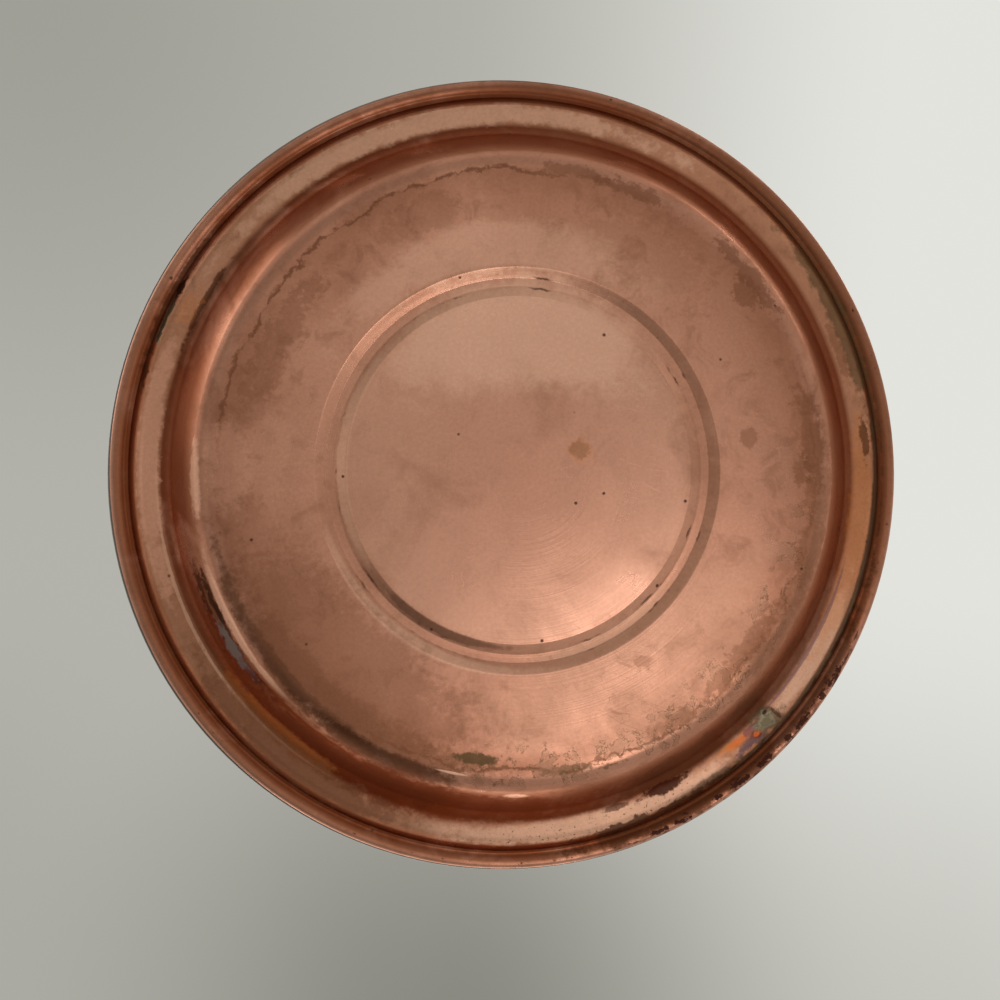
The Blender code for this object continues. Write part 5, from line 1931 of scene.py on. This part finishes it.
@dataclass
class Grip:
    """The moulded grip over the kettle, with both of its legs."""

    front: LegMount
    rear: LegMount
    width: float = 21.6
    height: float = 16.6
    power: float = 2.8
    steps: int = 40
    legs_from: Point = (2.7, 15.0)      # the straight stretch in each leg
    evened: int = 400                   # rounds of evening out the middle line
    room: float = 1.1                   # round the trigger
    slot_half: float = 4.7
    passage: float = 3.7
    passage_half: float = 4.3
    crown: tuple[Point, ...] = (
        (28.6, 146.36), (20.4, 163.86), (2.0, 173.26), (-25.0, 176.86), (-56.0, 167.56), (-74.6, 149.16),
        (-87.0, 124.16),
    )

    def path(self) -> list[Vector]:
        """Follow the middle line from the front foot over the crown to the rear foot.

        Returns:
            The points.
        """
        front, rear = ([leg.above(height) for height in self.legs_from] for leg in (self.front, self.rear))
        line = smooth([*front, *map(Vector, self.crown), *rear[::-1]], 12)
        foot = [line[0].lerp(line[1], k / 6) for k in range(6)]
        heel = [line[-2].lerp(line[-1], k / 6) for k in range(1, 7)]
        return relaxed([*foot, *line[1:-1], *heel], 3, self.evened)

    def section(self) -> list[Vector]:
        """Give the rounded section, wide across the kettle.

        Returns:
            Its outline.
        """
        points = []
        for step in range(self.steps):
            angle = TURN * (step + 0.5) / self.steps
            pair = (math.cos(angle), self.height), (math.sin(angle), self.width)
            points.append(Vector([
                math.copysign(abs(share) ** (2 / self.power), share) * size / 2 for share, size in pair
            ]))
        return points

    def build(self, trigger: Trigger) -> None:
        """Make the grip with its slot, its sockets and its bores.

        Args:
            trigger: The trigger that swings in the slot.
        """
        first, *middle, last = along([in_plane(point) for point in self.path()])
        narrow, round_end = Matrix.Diagonal((0.95, 0.96, 1, 1)), Matrix.Translation((0, 0, 0.35))
        stations = [
            first @ narrow, first @ round_end, *middle, last @ round_end.inverted(), last @ narrow,
        ]
        grip = Form.lofted(self.section(), stations)
        ends = (Vector(trigger.knee), trigger.neck[1]), (WIRE_REAR, trigger.arm[1])
        rounds = [(PIVOT, trigger.arm[0] + self.room)]
        for end, radius in ends:
            swung = PIVOT + turned_by(end - PIVOT, -SQUEEZE)
            rounds += [(spot, radius + self.room) for spot in (end, swung)]
        fan = hull(*rounds)
        passage = hull((WIRE_REAR, self.passage), (WIRE_FRONT, self.passage))
        grip.less(
            Form.plate(fan, -self.slot_half, self.slot_half),
            Form.plate(passage, -self.passage_half, self.passage_half), across(PIN_HOLE, PIVOT),
            self.front.socket(), self.front.bore(), self.rear.socket(), self.rear.bore(),
        )
        grip.finished("arch_grip", PHENOLIC, "handle_grip", sharp=40)


# The studio


@dataclass
class Studio:
    """The camera at the photo's angle, the lamps, the world and the floor."""

    lens: float = 51.7
    tilt: Point = (-0.094, -0.016)      # the kettle's +Z in the camera's frame: its X and Y
    centre: Point = (4.9, 7.35)         # the kettle's origin in the camera's frame: its X and Y
    distance: float = 350.8
    floor_z: float = -0.4
    floor_radius: float = 3000
    floor_ends: Point = (0.4, 1.6)      # where it begins to fade and where it has faded, in metres
    horizon: float = 0.70
    level_below: float = 0.47
    slope_below: float = 0.20
    contrast_below: float = 0.55
    bright_quarter: float = 74.0
    quarters_at: Point = (0.11, 0.04)
    # darker patches above, seen behind the kettle from below: the first is a painted shadow of the kettle on
    # the surface behind it, the others painted shade on that surface
    painted_shadows_above: tuple[tuple[float, ...], ...] = (
        (0.04, 0.33, 0.30, 0.19), (0.34, 0.34, 0.32, 0.22),
        (-0.30, 0.26, 0.24, 0.05), (-0.22, -0.34, 0.36, 0.10),
    )
    shades_below: tuple[tuple[float, ...], ...] = ((-0.34, 0.50, 0.34, 0.32), (-0.66, 0.0, 0.50, -0.28))
    lamps: tuple[tuple[str, Triple, Triple, Point, float], ...] = (
        ("key_above", (0.9, -0.8, 1.3), (0, 0, 0.08), (1.0, 1.0), 9.5),
        ("fill_above", (-1.1, -0.6, 0.9), (0, 0, 0.08), (1.0, 1.0), 4),
        ("rim_behind", (-0.2, 1.2, 1.0), (0, 0, 0.1), (1.2, 0.7), 5),
        ("key_below", (0.26, 0.27, -0.95), (0, 0.02, 0), (0.25, 0.25), 0.75),
    )

    def camera(self) -> None:
        """Place the camera below the base, looking up at it."""
        up = Vector((*self.tilt, -math.sqrt(1 - self.tilt[0] ** 2 - self.tilt[1] ** 2)))
        right = (Vector((1, 0, 0)) - up * up.x).normalized()
        turn = Matrix((right, up.cross(right), up))
        data = bpy.data.cameras.new("camera")
        data.lens, data.sensor_width, data.clip_start, data.clip_end = self.lens, 36, 0.01, 20
        camera = in_scene("camera", data)
        start = turn @ Vector((-self.centre[0], -self.centre[1], self.distance)) * MM
        camera.matrix_world = Matrix.Translation(start) @ turn.to_4x4()
        bpy.context.scene.camera = camera

    def light(self) -> None:
        """Hang the soft boxes: each has a name, a place, an aim, a size in metres and its watts."""
        for name, place, aim, size, power in self.lamps:
            data = bpy.data.lights.new(name, "AREA")
            data.shape, data.energy = "RECTANGLE", power
            data.size, data.size_y = size
            lamp = in_scene(name, data)
            lamp.location, lamp.rotation_mode = place, "QUATERNION"
            lamp.rotation_quaternion = (Vector(aim) - Vector(place)).to_track_quat("-Z", "Y")

    def world(self) -> None:
        """Surround the kettle with soft greys: the photo's surface above it, pale at the horizon.

        Below, the greys lie in four soft quarters, which give the turned base its bright and
        dark sectors.
        """
        world = bpy.data.worlds.new("studio")
        world.use_nodes = True
        bpy.context.scene.world = world
        tree = Tree(world.node_tree)
        x, y, z = tree.parts(tree.value("TexCoord"))
        # the sky above, seen behind the kettle from below, carries the painted shadow and shade of the
        # surface behind it
        above = self.shaded(tree, x, y, x.span(0.05, 0.36, 0.45, 0.77), self.painted_shadows_above)
        turn = math.radians(self.bright_quarter)
        near_x, near_y = x - self.quarters_at[0], y - self.quarters_at[1]
        ahead = near_y * math.sin(turn) + near_x * math.cos(turn)
        aside = near_y * math.cos(turn) - near_x * math.sin(turn)
        ahead, aside = ahead * ahead, aside * aside
        size = ahead + aside + 0.01
        quarter = (ahead - aside) / size * size.span(0.07, 0.40, 1, 0)
        below = (x * self.slope_below + self.level_below) * (quarter * self.contrast_below + 1.0)
        below = self.shaded(tree, x, y, below, self.shades_below)
        level = z.span(0.2, 0.62) * (above - self.horizon) + self.horizon
        level = z.span(-0.10, -0.42) * (below - level) + level
        tint = tree.ramp(level, [(0.25, (1.0, 0.985, 0.865)), (0.75, (1.0, 1.0, 0.95))])
        tree.feed(world.node_tree.nodes["Background"], {"Color": tree.scaled(tint, level), "Strength": 1.0})

    @staticmethod
    def shaded(
        tree: Tree, x: Signal, y: Signal, level: Signal, shades: Sequence[tuple[float, ...]],
    ) -> Signal:
        """Darken a level softly round some directions.

        Args:
            tree: The world's nodes.
            x: The direction's X.
            y: The direction's Y.
            level: The level so far.
            shades: Each shade's middle in X and Y, its reach and its depth.

        Returns:
            The darkened level.
        """
        for at_x, at_y, reach, depth in shades:
            level = level - tree.length(x - at_x, y - at_y).span(0.0, reach, depth, 0)
        return level

    def floor(self) -> None:
        """Lay a pale floor for what looks at it from above, fading into the horizon's grey."""
        form = Form()
        bmesh.ops.create_circle(form.mesh, cap_ends=True, segments=MEDIUM, radius=self.floor_radius)
        form.placed(Matrix.Scale(MM, 4) @ Matrix.Translation((0, 0, self.floor_z))).mesh.normal_update()
        down = [face for face in form.mesh.faces if face.normal.z < 0]
        bmesh.ops.reverse_faces(form.mesh, faces=down)
        floor = form.object("floor")
        material = bpy.data.materials.new("floor")
        material.use_nodes = True
        tree, nodes = Tree(material.node_tree), material.node_tree.nodes
        place = tree.out(tree.add("TexCoord"), "Object")
        colour = tree.blend(tree.noise(place, 6.0, 5), (0.74, 0.73, 0.71), (0.70, 0.69, 0.67))
        shader = tree.out(tree.feed(nodes["Principled BSDF"], {"Base Color": colour, "Roughness": 0.65}))
        rays = tree.add("LightPath")
        camera, glossy, clear, length, depth = (tree.out(rays, label) for label in (
            "Is Camera Ray", "Is Glossy Ray", "Is Transmission Ray", "Ray Length", "Diffuse Depth"
        ))
        deep = tree.math("GREATER_THAN", depth, 0.5)
        shown = camera | glossy * tree.math("GREATER_THAN", length, 0.05) | clear | deep
        shown = shown * (tree.out(tree.add("NewGeometry"), "Backfacing") * -1 + 1)
        haze = tree.value("Emission", tuple(self.horizon * share for share in (1, 1, 0.942)))
        nothing = tree.value("BsdfTransparent")
        x, y, _ = tree.parts(place)
        far = tree.value("MixShader", deep, haze, nothing)
        surface = tree.value("MixShader", tree.length(x, y).span(*self.floor_ends, 1, 0), far, shader)
        tree.feed(nodes["Material Output"], {"Surface": tree.value("MixShader", shown, nothing, surface)})
        floor.data.materials.append(material)

    def build(self) -> None:
        """Set up everything that isn't the kettle."""
        bpy.context.scene.view_settings.view_transform = "Standard"
        self.camera()
        self.world()
        self.floor()
        self.light()


def main() -> None:
    """Build the kettle piece by piece, then its studio."""
    logging.basicConfig(level=logging.INFO, format="%(name)s: %(message)s", force=True)
    spout, dome, trigger = Spout(), Dome(), Trigger()
    hinge = CapHinge(spout)
    front = LegMount("front", (30.0, 110.874), (0.2598, 0.9657))
    rear = LegMount("rear", (-72.287, 87.8), (-0.6878, 0.7259))
    Base().build()
    dome.build(spout)
    spout.build(dome)
    hinge.build()
    Cap(spout, hinge).build()
    Linkage().build()
    trigger.build()
    front.build(dome)
    rear.build(dome)
    Grip(front, rear).build(trigger)
    Studio().build()


if __name__ == "__main__":
    main()
